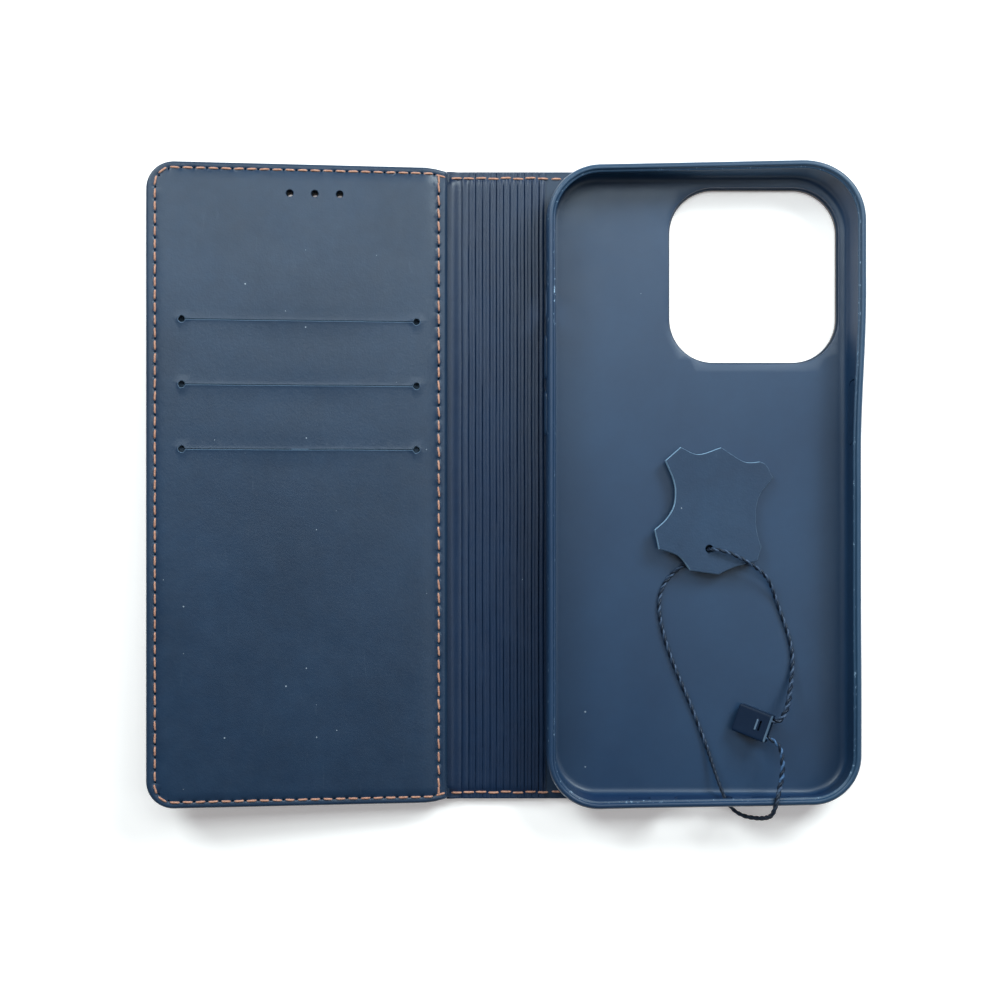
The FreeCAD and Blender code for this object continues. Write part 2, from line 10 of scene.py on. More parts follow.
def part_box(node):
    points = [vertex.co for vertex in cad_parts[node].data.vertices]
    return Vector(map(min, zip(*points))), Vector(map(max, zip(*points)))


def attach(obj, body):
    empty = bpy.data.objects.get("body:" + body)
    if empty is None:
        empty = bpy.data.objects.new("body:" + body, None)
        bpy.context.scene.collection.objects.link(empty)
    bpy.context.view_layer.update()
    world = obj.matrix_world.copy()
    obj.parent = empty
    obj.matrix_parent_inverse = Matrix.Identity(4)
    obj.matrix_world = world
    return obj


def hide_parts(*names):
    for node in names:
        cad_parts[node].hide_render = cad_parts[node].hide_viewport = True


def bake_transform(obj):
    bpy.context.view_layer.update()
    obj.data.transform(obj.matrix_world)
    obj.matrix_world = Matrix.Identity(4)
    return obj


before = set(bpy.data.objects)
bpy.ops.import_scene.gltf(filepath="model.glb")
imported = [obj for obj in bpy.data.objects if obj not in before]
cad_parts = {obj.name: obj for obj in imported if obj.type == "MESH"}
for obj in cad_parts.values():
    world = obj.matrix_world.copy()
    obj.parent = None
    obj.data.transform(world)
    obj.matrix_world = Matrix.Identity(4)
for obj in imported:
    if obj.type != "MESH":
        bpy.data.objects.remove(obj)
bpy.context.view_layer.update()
K = 0.001
SC = bpy.context.scene
random.seed(7)

# ---------------------------------------------------------------- sizes (mm)
P1, PITCH = -37.40, 7.30
P = [P1 - i * PITCH for i in range(4)]
TRAY_HX, TRAY_HY, TRAY_R = 37.25, 76.4, 13.0
TRAY_RADII = [12.7, 11.5, 14.7, 12.6]
HALF_L, COVER_HALF_L = 76.45, 76.45
INCLINE = math.radians(5.75)
U_LINE, U_FREE, COVER_R = 2.08, 73.25, 6.6
V_TOP = 5.4
Z_FLOOR, Z_RIM = 2.6, 11.9
SPLITS = [-35.8, P[0] - PITCH / 2, P[1] - PITCH / 2, P[2] - PITCH / 2, -60.85]

# ---------------------------------------------------------------- camera
cam_data = bpy.data.cameras.new("camera")
cam = bpy.data.objects.new("camera", cam_data)
SC.collection.objects.link(cam)
cam.location = (-48.3 * K, -3.58 * K, 321.5 * K)
cam.rotation_euler = (0, 0, 0)
cam_data.sensor_width = 36.0
cam_data.lens = 47.3
cam_data.clip_start, cam_data.clip_end = 0.01, 20
SC.camera = cam


# ---------------------------------------------------------------- helpers
def lin(c):
    out = []
    for v in c:
        v = v / 255.0
        out.append(v / 12.92 if v <= 0.04045 else ((v + 0.055) / 1.055) ** 2.4)
    return tuple(out) + (1.0,)


def make_obj(name, verts, faces, mats, fmat=None, rest=None, sharp=38.0, smooth=True):
    """Mesh piece from millimetre points; the rest position is kept for the textures."""
    me = bpy.data.meshes.new(name)
    v = np.asarray(verts, float).reshape(-1, 3)
    me.from_pydata((v * K).tolist(), [], [list(map(int, f)) for f in faces])
    me.update()
    r = np.asarray(rest if rest is not None else verts, float).reshape(-1, 3)
    at = me.attributes.new("rest_mm", "FLOAT_VECTOR", "POINT")
    at.data.foreach_set("vector", r.astype(np.float32).ravel())
    for m in (mats if isinstance(mats, (list, tuple)) else [mats]):
        me.materials.append(m)
    if fmat is not None:
        me.polygons.foreach_set("material_index", np.asarray(fmat, np.int32))
    bm = bmesh.new()
    bm.from_mesh(me)
    bmesh.ops.remove_doubles(bm, verts=bm.verts, dist=1e-7)
    bmesh.ops.dissolve_degenerate(bm, edges=bm.edges, dist=1e-7)
    bmesh.ops.recalc_face_normals(bm, faces=bm.faces)
    bm.to_mesh(me)
    bm.free()
    if smooth:
        me.shade_smooth()
        me.set_sharp_from_angle(angle=math.radians(sharp))
    o = bpy.data.objects.new(name, me)
    SC.collection.objects.link(o)
    return o


def arc_pts(cx, cy, r, a0, a1, n):
    return [(cx + r * math.cos(math.radians(a0 + (a1 - a0) * i / n)),
             cy + r * math.sin(math.radians(a0 + (a1 - a0) * i / n))) for i in range(n + 1)]


def rring(x0, y0, x1, y1, radii, d=0.0, nc=14, step=3.0, open_x0=False, open_x1=False, rmin=0.02):
    """Counter-clockwise rounded rectangle, inset by d, always with the same number of points for the same base."""
    if not isinstance(radii, (list, tuple)):
        radii = [radii] * 4
    nx = max(1, int(round((x1 - x0 - radii[0] - radii[1]) / step)))
    ny = max(1, int(round((y1 - y0 - radii[1] - radii[2]) / step)))
    X0 = x0 + (0 if open_x0 else d)
    X1 = x1 - (0 if open_x1 else d)
    Y0, Y1 = y0 + d, y1 - d
    r = [max(q - d, rmin) if q > 0.1 else rmin for q in radii]
    cnt = [nc if q > 0.1 else 1 for q in radii]
    pts = []
    corners = [(X0 + r[0], Y0 + r[0], r[0], 180, cnt[0]), (X1 - r[1], Y0 + r[1], r[1], 270, cnt[1]),
               (X1 - r[2], Y1 - r[2], r[2], 0, cnt[2]), (X0 + r[3], Y1 - r[3], r[3], 90, cnt[3])]
    ns = [nx, ny, nx, ny]
    for i in range(4):
        cx, cy, rr, a0, n = corners[i]
        ca = arc_pts(cx, cy, rr, a0, a0 + 90, n)
        pts += ca
        j = (i + 1) % 4
        nxt = arc_pts(corners[j][0], corners[j][1], corners[j][2], corners[j][3], corners[j][3] + 90, corners[j][4])[0]
        for k in range(1, ns[i]):
            f = k / ns[i]
            pts.append((ca[-1][0] + (nxt[0] - ca[-1][0]) * f, ca[-1][1] + (nxt[1] - ca[-1][1]) * f))
    return np.array(pts, float)


def offset_poly(pts, d):
    """Moves each point of a counter-clockwise outline inwards by d."""
    p = np.asarray(pts, float)
    a, b = np.roll(p, 1, 0), np.roll(p, -1, 0)
    t1 = p - a
    t2 = b - p
    t1 /= np.maximum(np.linalg.norm(t1, axis=1), 1e-9)[:, None]
    t2 /= np.maximum(np.linalg.norm(t2, axis=1), 1e-9)[:, None]
    n = np.stack([-(t1 + t2)[:, 1], (t1 + t2)[:, 0]], 1)
    n /= np.maximum(np.linalg.norm(n, axis=1), 1e-9)[:, None]
    cs = np.clip(np.sum(n * np.stack([-t1[:, 1], t1[:, 0]], 1), 1), 0.5, 1)
    return p + n * (d / cs)[:, None]


def inside(poly, q):
    poly = np.asarray(poly, float)
    q = np.asarray(q, float)
    x, y = q[:, 0], q[:, 1]
    c = np.zeros(len(q), bool)
    j = len(poly) - 1
    for i in range(len(poly)):
        xi, yi = poly[i]
        xj, yj = poly[j]
        if yi != yj:
            hit = ((yi > y) != (yj > y)) & (x < (xj - xi) * (y - yi) / (yj - yi) + xi)
            c ^= hit
        j = i
    return c


def dist_to_poly(poly, q):
    poly = np.asarray(poly, float)
    best = np.full(len(q), 1e9)
    for i in range(len(poly)):
        a, b = poly[i], poly[(i + 1) % len(poly)]
        ab = b - a
        L = max(ab @ ab, 1e-12)
        t = np.clip(((q - a) @ ab) / L, 0, 1)
        dd = np.linalg.norm(q - (a + t[:, None] * ab), axis=1)
        best = np.minimum(best, dd)
    return best


def region(outer, holes, step, extra=None):
    """Triangles of a flat region with holes. Returns points, triangles, and where each outline's points went."""
    loops = [np.asarray(outer, float)] + [np.asarray(h, float) for h in holes]
    pts, edges, starts = [], [], []
    for lp in loops:
        s = len(pts)
        starts.append(s)
        pts += lp.tolist()
        edges += [(s + i, s + (i + 1) % len(lp)) for i in range(len(lp))]
    lo, hi = loops[0].min(0), loops[0].max(0)
    if step:
        xs = np.arange(lo[0] + step * 0.5, hi[0], step)
        ys = np.arange(lo[1] + step * 0.5, hi[1], step)
        g = np.array([(x + (0.5 * step if j % 2 else 0), y) for j, y in enumerate(ys) for x in xs])
        ok = inside(loops[0], g)
        g = g[ok]
        g = g[dist_to_poly(loops[0], g) > step * 0.35]
        for h in loops[1:]:
            near = np.all((g > h.min(0) - step) & (g < h.max(0) + step), axis=1)
            if near.any():
                idx = np.where(near)[0]
                bad = inside(h, g[idx]) | (dist_to_poly(h, g[idx]) < min(step * 0.35, 0.5))
                g = np.delete(g, idx[bad], 0)
        pts += g.tolist()
    if extra is not None and len(extra):
        pts += np.asarray(extra, float).tolist()
    res = delaunay_2d_cdt([Vector(q) for q in pts], edges, [], 0, 1e-6)
    vo = np.array([(v.x, v.y) for v in res[0]])
    tri = np.array([list(f) for f in res[2]])
    cen = vo[tri].mean(1)
    ok = inside(loops[0], cen)
    for h in loops[1:]:
        near = ok & np.all((cen > h.min(0)) & (cen < h.max(0)), axis=1)
        idx = np.where(near)[0]
        if len(idx):
            ok[idx[inside(h, cen[idx])]] = False
    tri = tri[ok]
    inv = {}
    for i, orig in enumerate(res[3]):
        for q in orig:
            inv[q] = i
    where = [[inv[s + i] for i in range(len(lp))] for s, lp in zip(starts, loops)]
    return vo, tri, where


class Build:
    def __init__(self):
        self.v, self.f, self.m = [], [], []

    def add(self, pts):
        s = len(self.v)
        self.v += [tuple(map(float, p)) for p in pts]
        return list(range(s, s + len(pts)))

    def bridge(self, a, b, mat=0, closed=True):
        n = len(a)
        for i in range(n if closed else n - 1):
            j = (i + 1) % n
            self.f.append((a[i], a[j], b[j], b[i]))
            self.m.append(mat)

    def tri(self, tris, idx, mat=0):
        for t in tris:
            self.f.append(tuple(idx[k] for k in t))
            self.m.append(mat)

    def fan(self, loop, mat=0):
        self.f.append(tuple(loop))
        self.m.append(mat)


def plate(b, rings, holes, ztop, zbot, top_step, bot_step, mats=(0, 0, 0), extra=None):
    """A sheet with rounded edges. rings: [(outline, z or function)] from the top's outline round the edge to the bottom's.
    holes: [(outline, bevel, mat)] cut right through. ztop and zbot are functions of x, y."""
    hs_top = [offset_poly(h, -bv) for h, bv in (q[:2] for q in holes)]
    vo, tr, where = region(rings[0][0], hs_top, top_step, extra)
    top = b.add([(x, y, ztop(x, y)) for x, y in vo])
    b.tri(tr, top, mats[0])
    prev = [top[i] for i in where[0]]
    hole_top = [[top[i] for i in w] for w in where[1:]]
    for out, z in rings[1:-1]:
        cur = b.add([(x, y, z(x, y) if callable(z) else z) for x, y in out])
        b.bridge(prev, cur, mats[1])
        prev = cur
    out, z = rings[-1]
    vo, tr, where = region(out, [offset_poly(q[0], -q[1] * 0.5) for q in holes], bot_step)
    bot = b.add([(x, y, zbot(x, y)) for x, y in vo])
    b.tri(tr, bot, mats[2])
    b.bridge(prev, [bot[i] for i in where[0]], mats[1])
    for hl, ht, w in zip(holes, hole_top, where[1:]):
        h, bv, hm = hl[:3]
        bm_ = hl[3] if len(hl) > 3 else (mats[0] if bv < 0.2 else hm)
        r1 = b.add([(x, y, ztop(x, y) - bv) for x, y in h])
        r2 = b.add([(x, y, zbot(x, y) + bv * 0.5) for x, y in h])
        b.bridge(ht, r1, bm_)
        b.bridge(r1, r2, hm)
        b.bridge(r2, [bot[i] for i in w], hm)


def cover_place(v):
    v = np.array(v, float).reshape(-1, 3)
    for p_ in v:
        p_[1] -= math.copysign(0.75 * smooth01((p_[0] + 6.5) / 5.0) * smooth01((abs(p_[1]) - 58) / 17), p_[1])
    c, s = math.cos(INCLINE), math.sin(INCLINE)
    return np.stack([v[:, 0] * c + v[:, 2] * s + P[3], v[:, 1], -v[:, 0] * s + v[:, 2] * c], 1)


def smooth01(t):
    t = min(1.0, max(0.0, t))
    return t * t * (3 - 2 * t)


def nz(x, y, z, s):
    return noise.noise(Vector((x * s, y * s, z * s)))


# ---------------------------------------------------------------- materials
class NT:
    def __init__(self, name):
        self.mat = bpy.data.materials.new(name)
        self.mat.use_nodes = True
        self.t = self.mat.node_tree
        self.t.nodes.clear()
        self.out = self.n("ShaderNodeOutputMaterial")
        self.bsdf = self.n("ShaderNodeBsdfPrincipled")
        self.l(self.bsdf.outputs[0], self.out.inputs[0])

    def n(self, kind, **kw):
        nd = self.t.nodes.new(kind)
        for k, v in kw.items():
            setattr(nd, k, v)
        return nd

    def l(self, a, b):
        self.t.links.new(a, b)

    def rest(self):
        a = self.n("ShaderNodeAttribute")
        a.attribute_name = "rest_mm"
        return a.outputs["Vector"]

    def objco(self):
        """Object coordinates in millimetres, for pieces that come straight from the CAD."""
        c = self.n("ShaderNodeTexCoord")
        m = self.n("ShaderNodeVectorMath", operation="SCALE")
        m.inputs["Scale"].default_value = 1000.0
        self.l(c.outputs["Object"], m.inputs[0])
        return m.outputs[0]

    def noise(self, co, scale, detail=3.0, rough=0.55, dist=0.0):
        nd = self.n("ShaderNodeTexNoise")
        nd.inputs["Scale"].default_value = scale
        nd.inputs["Detail"].default_value = detail
        nd.inputs["Roughness"].default_value = rough
        nd.inputs["Distortion"].default_value = dist
        self.l(co, nd.inputs["Vector"])
        return nd.outputs["Fac"]

    def voro(self, co, scale, feature="F1", rnd=1.0, out="Distance"):
        nd = self.n("ShaderNodeTexVoronoi", feature=feature)
        nd.inputs["Scale"].default_value = scale
        nd.inputs["Randomness"].default_value = rnd
        self.l(co, nd.inputs["Vector"])
        return nd.outputs[out]

    def stretch(self, co, s):
        nd = self.n("ShaderNodeVectorMath", operation="MULTIPLY")
        nd.inputs[1].default_value = s
        self.l(co, nd.inputs[0])
        return nd.outputs[0]

    def ramp(self, fac, stops):
        nd = self.n("ShaderNodeValToRGB")
        cr = nd.color_ramp
        while len(cr.elements) < len(stops):
            cr.elements.new(0.5)
        for e, (p, c) in zip(cr.elements, stops):
            e.position = p
            e.color = c if len(c) == 4 else tuple(c) + (1.0,)
        self.l(fac, nd.inputs[0])
        return nd.outputs[0]

    def maprange(self, v, a, b, c, d):
        nd = self.n("ShaderNodeMapRange")
        nd.inputs["From Min"].default_value = a
        nd.inputs["From Max"].default_value = b
        nd.inputs["To Min"].default_value = c
        nd.inputs["To Max"].default_value = d
        self.l(v, nd.inputs["Value"])
        return nd.outputs[0]

    def mix(self, fac, a, b, mode="MIX"):
        nd = self.n("ShaderNodeMix", data_type="RGBA", blend_type=mode)
        for sock, v in ((nd.inputs[0], fac), (nd.inputs[6], a), (nd.inputs[7], b)):
            if isinstance(v, (int, float, tuple)):
                sock.default_value = v
            else:
                self.l(v, sock)
        return nd.outputs[2]

    def math(self, op, a, b=None):
        nd = self.n("ShaderNodeMath", operation=op)
        for i, v in enumerate((a, b)):
            if v is None:
                continue
            if isinstance(v, (int, float)):
                nd.inputs[i].default_value = v
            else:
                self.l(v, nd.inputs[i])
        return nd.outputs[0]

    def bump(self, h, dist, strength=1.0, normal=None):
        nd = self.n("ShaderNodeBump")
        nd.inputs["Strength"].default_value = strength
        nd.inputs["Distance"].default_value = dist
        self.l(h, nd.inputs["Height"])
        if normal is not None:
            self.l(normal, nd.inputs["Normal"])
        return nd.outputs[0]


def leather_mat(name, dark, light, rough=0.5, grain=1.0, specks=True, spec=0.5, cad=False):
    m = NT(name)
    co = m.objco() if cad else m.rest()
    big = m.noise(co, 0.035, 3, 0.6)
    mid = m.noise(co, 0.35, 4, 0.6)
    c = m.mix(m.maprange(big, 0.3, 0.7, 0, 1), lin(dark), lin(light))
    c = m.mix(0.35, c, m.ramp(mid, [(0.3, (0.72, 0.74, 0.78)), (0.7, (1.2, 1.18, 1.15))]), "MULTIPLY")
    # long faint rubs and scuffs
    sc = m.noise(m.stretch(co, (0.9, 0.12, 0.5)), 1.0, 5, 0.7, 0.6)
    c = m.mix(m.maprange(sc, 0.64, 0.80, 0.0, 0.09), c, lin((118, 132, 148)))
    if specks:
        cell = m.voro(co, 0.42, out="Color")
        sep = m.n("ShaderNodeSeparateColor")
        m.l(cell, sep.inputs[0])
        chosen = m.math("GREATER_THAN", sep.outputs[0], 0.90)
        size = m.maprange(sep.outputs[1], 0, 1, 0.03, 0.085)
        dot = m.math("LESS_THAN", m.voro(co, 0.42), size)
        c = m.mix(m.math("MULTIPLY", m.math("MULTIPLY", chosen, dot), 0.55), c, lin((170, 180, 192)))
    m.l(c, m.bsdf.inputs["Base Color"])
    g1 = m.voro(co, 2.3, "SMOOTH_F1")
    g2 = m.noise(co, 5.0, 3, 0.6)
    g3 = m.noise(co, 0.9, 3, 0.5)
    h = m.math("ADD", m.math("MULTIPLY", g1, -0.6 * grain), m.math("MULTIPLY", g2, 0.45 * grain))
    h = m.math("ADD", h, m.math("MULTIPLY", g3, 0.7))
    m.l(m.bump(h, 0.00006, 0.5), m.bsdf.inputs["Normal"])
    r = m.maprange(m.noise(co, 0.25, 4, 0.6), 0.3, 0.7, rough - 0.03, rough + 0.03)
    m.l(r, m.bsdf.inputs["Roughness"])
    m.bsdf.inputs["Specular IOR Level"].default_value = spec
    return m.mat


def plastic_mat(name, dark, light, rough=0.38, spec=0.5, cad=False, fine=0.00002, wear_and_painted_light=False):
    m = NT(name)
    co = m.objco() if cad else m.rest()
    big = m.noise(co, 0.03, 3, 0.55)
    c = m.mix(m.maprange(big, 0.3, 0.7, 0, 1), lin(dark), lin(light))
    mid = m.noise(co, 0.5, 5, 0.65)
    c = m.mix(0.25, c, m.ramp(mid, [(0.35, (0.86, 0.87, 0.89)), (0.65, (1.1, 1.09, 1.07))]), "MULTIPLY")
    cell = m.voro(co, 0.22, out="Color")
    sep = m.n("ShaderNodeSeparateColor")
    m.l(cell, sep.inputs[0])
    chosen = m.math("GREATER_THAN", sep.outputs[0], 0.86)
    dot = m.math("LESS_THAN", m.voro(co, 0.22), m.maprange(sep.outputs[1], 0, 1, 0.015, 0.05))
    c = m.mix(m.math("MULTIPLY", m.math("MULTIPLY", chosen, dot), 0.45), c, lin((175, 188, 202)))
    # wear specks on the rim crest, with painted light and shade on the rim and the end walls
    if wear_and_painted_light:
        xyz = m.n("ShaderNodeSeparateXYZ")
        m.l(co, xyz.inputs[0])
        band = m.math("MULTIPLY", m.maprange(xyz.outputs[2], 11.0, 11.2, 0, 1), m.maprange(xyz.outputs[2], 11.5, 11.62, 1, 0))
        bits = m.maprange(m.noise(m.stretch(co, (1.6, 0.9, 1.0)), 1.1, 4, 0.65), 0.60, 0.67, 0.0, 1.0)
        patch = m.maprange(m.noise(co, 0.06, 2, 0.5), 0.42, 0.58, 0.15, 1.0)
        # painted highlight: the rim's upper edge is lightened along the right side and the top end
        painted_rim_highlight = m.maprange(xyz.outputs[2], 10.0, 11.2, 0, 1)
        rim_highlight_sides = m.math("MAXIMUM", m.maprange(xyz.outputs[0], 12.0, 32.0, 0, 1), m.maprange(xyz.outputs[1], 62.0, 74.0, 0, 1))
        c = m.mix(m.math("MULTIPLY", painted_rim_highlight, rim_highlight_sides), c, (1.62, 1.42, 1.2, 1), "MULTIPLY")
        # painted light: the inner wall at the top end is brightened because it faces away from the lamps
        painted_head_wall_light = m.math("MULTIPLY", m.maprange(xyz.outputs[1], 72.5, 74.5, 0, 1), m.maprange(xyz.outputs[2], 2.8, 4.5, 0, 1))
        painted_head_wall_light = m.math("MULTIPLY", painted_head_wall_light, m.maprange(xyz.outputs[2], 10.0, 11.2, 1, 0))
        c = m.mix(painted_head_wall_light, c, (2.2, 1.95, 1.6, 1), "MULTIPLY")
        # painted shade: the inner wall and fillet at the bottom end are darkened
        painted_foot_wall_shade = m.math("MULTIPLY", m.maprange(xyz.outputs[1], -74.5, -73.0, 1, 0), m.maprange(xyz.outputs[2], 2.9, 4.2, 0, 1))
        painted_foot_wall_shade = m.math("MULTIPLY", painted_foot_wall_shade, m.maprange(xyz.outputs[2], 10.0, 10.6, 1, 0))
        c = m.mix(painted_foot_wall_shade, c, (0.6, 0.78, 0.98, 1), "MULTIPLY")
        c = m.mix(m.math("MULTIPLY", m.math("MULTIPLY", band, bits), m.math("MULTIPLY", patch, 0.8)), c, lin((150, 176, 200)))
    m.l(c, m.bsdf.inputs["Base Color"])
    h = m.math("ADD", m.noise(co, 6.0, 2, 0.5), m.math("MULTIPLY", m.noise(co, 0.6, 3, 0.5), 0.8))
    m.l(m.bump(h, fine, 0.6), m.bsdf.inputs["Normal"])
    m.l(m.maprange(m.noise(co, 0.15, 4, 0.6), 0.3, 0.7, rough - 0.03, rough + 0.03), m.bsdf.inputs["Roughness"])
    m.bsdf.inputs["Specular IOR Level"].default_value = spec
    return m.mat


def thread_mat(name, a, b, rough=0.6, sheen=0.25, tint=None):
    m = NT(name)
    co = m.rest()
    c = m.mix(m.maprange(m.noise(co, 1.1, 3, 0.6), 0.3, 0.7, 0, 1), lin(a), lin(b))
    f = m.noise(co, 9.0, 3, 0.7)
    hi = (1.25, 1.25, 1.25) if tint else (1.25, 1.2, 1.15)
    c = m.mix(0.5, c, m.ramp(f, [(0.3, (0.62, 0.58, 0.55) if not tint else (0.55, 0.58, 0.62)), (0.68, hi)]), "MULTIPLY")
    m.l(c, m.bsdf.inputs["Base Color"])
    m.l(m.bump(m.noise(m.stretch(co, (1.0, 1.0, 1.0)), 14.0, 2, 0.6), 0.00005, 0.8), m.bsdf.inputs["Normal"])
    m.l(m.maprange(f, 0.3, 0.7, rough - 0.08, rough + 0.1), m.bsdf.inputs["Roughness"])
    m.bsdf.inputs["Sheen Weight"].default_value = sheen
    if tint:
        m.bsdf.inputs["Specular Tint"].default_value = tint
    return m.mat


def fibre_mat(name, a, b, cad=True):
    """Raw board, cloth and cut leather edges, and the painted shade on hole walls."""
    m = NT(name)
    co = m.objco() if cad else m.rest()
    f = m.noise(m.stretch(co, (1, 1, 5)), 2.2, 5, 0.7)
    c = m.mix(m.maprange(f, 0.3, 0.7, 0, 1), lin(a), lin(b))
    m.l(c, m.bsdf.inputs["Base Color"])
    m.l(m.bump(f, 0.0001, 0.7), m.bsdf.inputs["Normal"])
    m.l(m.maprange(f, 0.3, 0.7, 0.8, 0.95), m.bsdf.inputs["Roughness"])
    return m.mat


def cloth_mat(name, a, b):
    m = NT(name)
    co = m.objco()
    w1 = m.n("ShaderNodeTexWave", bands_direction="X")
    w2 = m.n("ShaderNodeTexWave", bands_direction="Y")
    for w in (w1, w2):
        w.inputs["Scale"].default_value = 1.0
        w.inputs["Distortion"].default_value = 0.6
        m.l(co, w.inputs["Vector"])
    h = m.math("MULTIPLY", w1.outputs["Fac"], w2.outputs["Fac"])
    m.l(m.mix(m.maprange(h, 0, 1, 0, 1), lin(a), lin(b)), m.bsdf.inputs["Base Color"])
    m.l(m.bump(h, 0.00008, 0.8), m.bsdf.inputs["Normal"])
    m.l(m.maprange(m.noise(co, 1.0), 0.3, 0.7, 0.8, 0.95), m.bsdf.inputs["Roughness"])
    return m.mat


def metal_mat(name, a, b, rough):
    m = NT(name)
    co = m.objco()
    f = m.noise(m.stretch(co, (0.4, 4.0, 1)), 1.0, 4, 0.6)
    m.l(m.mix(f, lin(a), lin(b)), m.bsdf.inputs["Base Color"])
    m.l(m.maprange(f, 0.3, 0.7, rough - 0.08, rough + 0.1), m.bsdf.inputs["Roughness"])
    m.l(m.bump(f, 0.00002, 0.5), m.bsdf.inputs["Normal"])
    m.bsdf.inputs["Metallic"].default_value = 1.0
    return m.mat


LINING = leather_mat("inner_leather", (21, 40, 62), (26, 47, 71), rough=0.41, grain=0.8, spec=0.4)
OUTER = leather_mat("outer_leather", (20, 38, 59), (26, 46, 69), rough=0.44, grain=1.2, spec=0.4)
RIBS = leather_mat("spine_leather", (11, 31, 57), (15, 37, 64), rough=0.42, grain=0.9, spec=0.4)
TAG = leather_mat("tag_leather", (21, 43, 68), (26, 50, 76), rough=0.5, grain=1.0, spec=0.3)
EDGE = fibre_mat("painted_edge", (26, 40, 62), (46, 62, 86), cad=False)
CUT = fibre_mat("slit_lips", (52, 74, 98), (92, 116, 140), cad=False)
RAW = fibre_mat("cut_edge", (92, 86, 84), (128, 120, 116), cad=False)
TAG_EDGE = fibre_mat("tag_cut_edge", (96, 128, 158), (150, 182, 208), cad=False)
# the tray's TPU takes wear specks plus painted light and shade on its rim and end walls
TPU = plastic_mat("tray_tpu", (23, 46, 73), (29, 54, 82), rough=0.4, spec=0.4, wear_and_painted_light=True)
TPU_RIM = TPU
PAD = plastic_mat("pad_tpu", (22, 44, 70), (27, 51, 78), rough=0.4, spec=0.4)
THREAD = thread_mat("tan_thread", (158, 106, 86), (190, 140, 118))
# painted shade: near-black walls inside the cover's slits and holes and inside the tag's hole
HOLE_SHADE = fibre_mat("hole_painted_shade", (8, 12, 20), (16, 22, 34), cad=False)
CORD_A = thread_mat("cord_dark", (10, 15, 26), (22, 30, 44), 0.42, 0.0, (0.6, 0.74, 1.0, 1))
# painted light: the second ply is a lighter copy of the dark navy cord, standing in for the plies' alternating light
# and shade
CORD_LIT_PLY = thread_mat("cord_painted_lit_ply", (28, 40, 58), (68, 84, 108), 0.38, 0.0, (0.6, 0.74, 1.0, 1))
# painted sheen: a pale blue copy of the cord colour standing in for the reflection on the second ply near the seal
CORD_PAINTED_SHEEN = thread_mat("cord_painted_sheen", (36, 56, 84), (72, 102, 140), 0.45, 0.0, (0.6, 0.8, 1.0, 1))
CORD_D = thread_mat("cord_pulled", (12, 17, 27), (30, 38, 52), 0.45, 0.0, (0.6, 0.74, 1.0, 1))
SEAL = plastic_mat("seal_plastic", (9, 24, 44), (13, 30, 52), rough=0.42, spec=0.12, cad=True)
# painted highlight: a pale copy of the seal colour for the chamfer at the cord end and the bar beside the slot
SEAL_PAINTED_HIGHLIGHT = plastic_mat("seal_painted_edge_highlight", (62, 82, 104), (96, 116, 136), rough=0.45, spec=0.3)
SEAL_V = plastic_mat("seal_moulding", (9, 24, 44), (13, 30, 52), rough=0.42, spec=0.12)
BOARD = fibre_mat("grey_board", (110, 106, 100), (140, 136, 130))
CLOTH = cloth_mat("pocket_cloth", (44, 60, 80), (92, 112, 132))
MAGNET = metal_mat("magnet_plate", (150, 150, 154), (190, 190, 194), 0.25)
STEEL = metal_mat("keeper_steel", (120, 122, 126), (160, 162, 166), 0.4)
for node, mat in (("back_board", BOARD), ("cover_board", BOARD), ("keeper_plates", STEEL), ("cover_magnets", MAGNET),
                  ("pocket_base", CLOTH), ("card_pocket_top", CLOTH), ("card_pocket_middle", CLOTH),
                  ("card_pocket_bottom", CLOTH), ("seal_housing", SEAL), ("seal_pin", SEAL)):
    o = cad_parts[node]
    o.data.materials.clear()
    o.data.materials.append(mat)


# ---------------------------------------------------------------- thread
def stitches(name, items, r=0.235, place=None, mat=None, mid=7, sides=10):
    """items: (x, y, z, angle, length, up) with up +1 or -1; each is a short twisted thread that dives in at both ends."""
    b = Build()
    rest = []
    rnd = random.Random(len(items) * 31 + 5)
    for x, y, z, ang, ln, up in items:
        a = math.radians(ang + rnd.uniform(-3.5, 3.5))
        dx, dy = math.cos(a), math.sin(a)
        px, py = -dy, dx
        l2 = ln / 2 * rnd.uniform(0.95, 1.04)
        rr = r * rnd.uniform(0.93, 1.07)
        ph = rnd.uniform(0, 6.28)
        prev = None
        n = mid + 4
        for i in range(n + 1):
            t = -1 + 2 * i / n
            s = t * l2
            lift = (1 - abs(t) ** 3.2) * rr * 0.95 - rr * 0.75
            rad = rr * (1 - 0.35 * abs(t) ** 4)
            if i in (0, n):
                rad *= 0.45
            ring = []
            for k in range(sides):
                f = 2 * math.pi * k / sides
                q = rad * (1 + 0.10 * math.cos(3 * f - 5.0 * s + ph))
                ox, oz = q * math.cos(f), q * 0.88 * math.sin(f)
                ring.append((x + dx * s + px * ox, y + dy * s + py * ox, z + up * (lift + oz)))
            ids = b.add(ring)
            if prev is not None:
                b.bridge(prev, ids)
            else:
                b.fan(ids)
            prev = ids
        b.fan(prev)
    v = np.array(b.v)
    rest = v.copy()
    if place is not None:
        v = place(v)
    return make_obj(name, v, b.f, mat or THREAD, rest=rest, sharp=60)


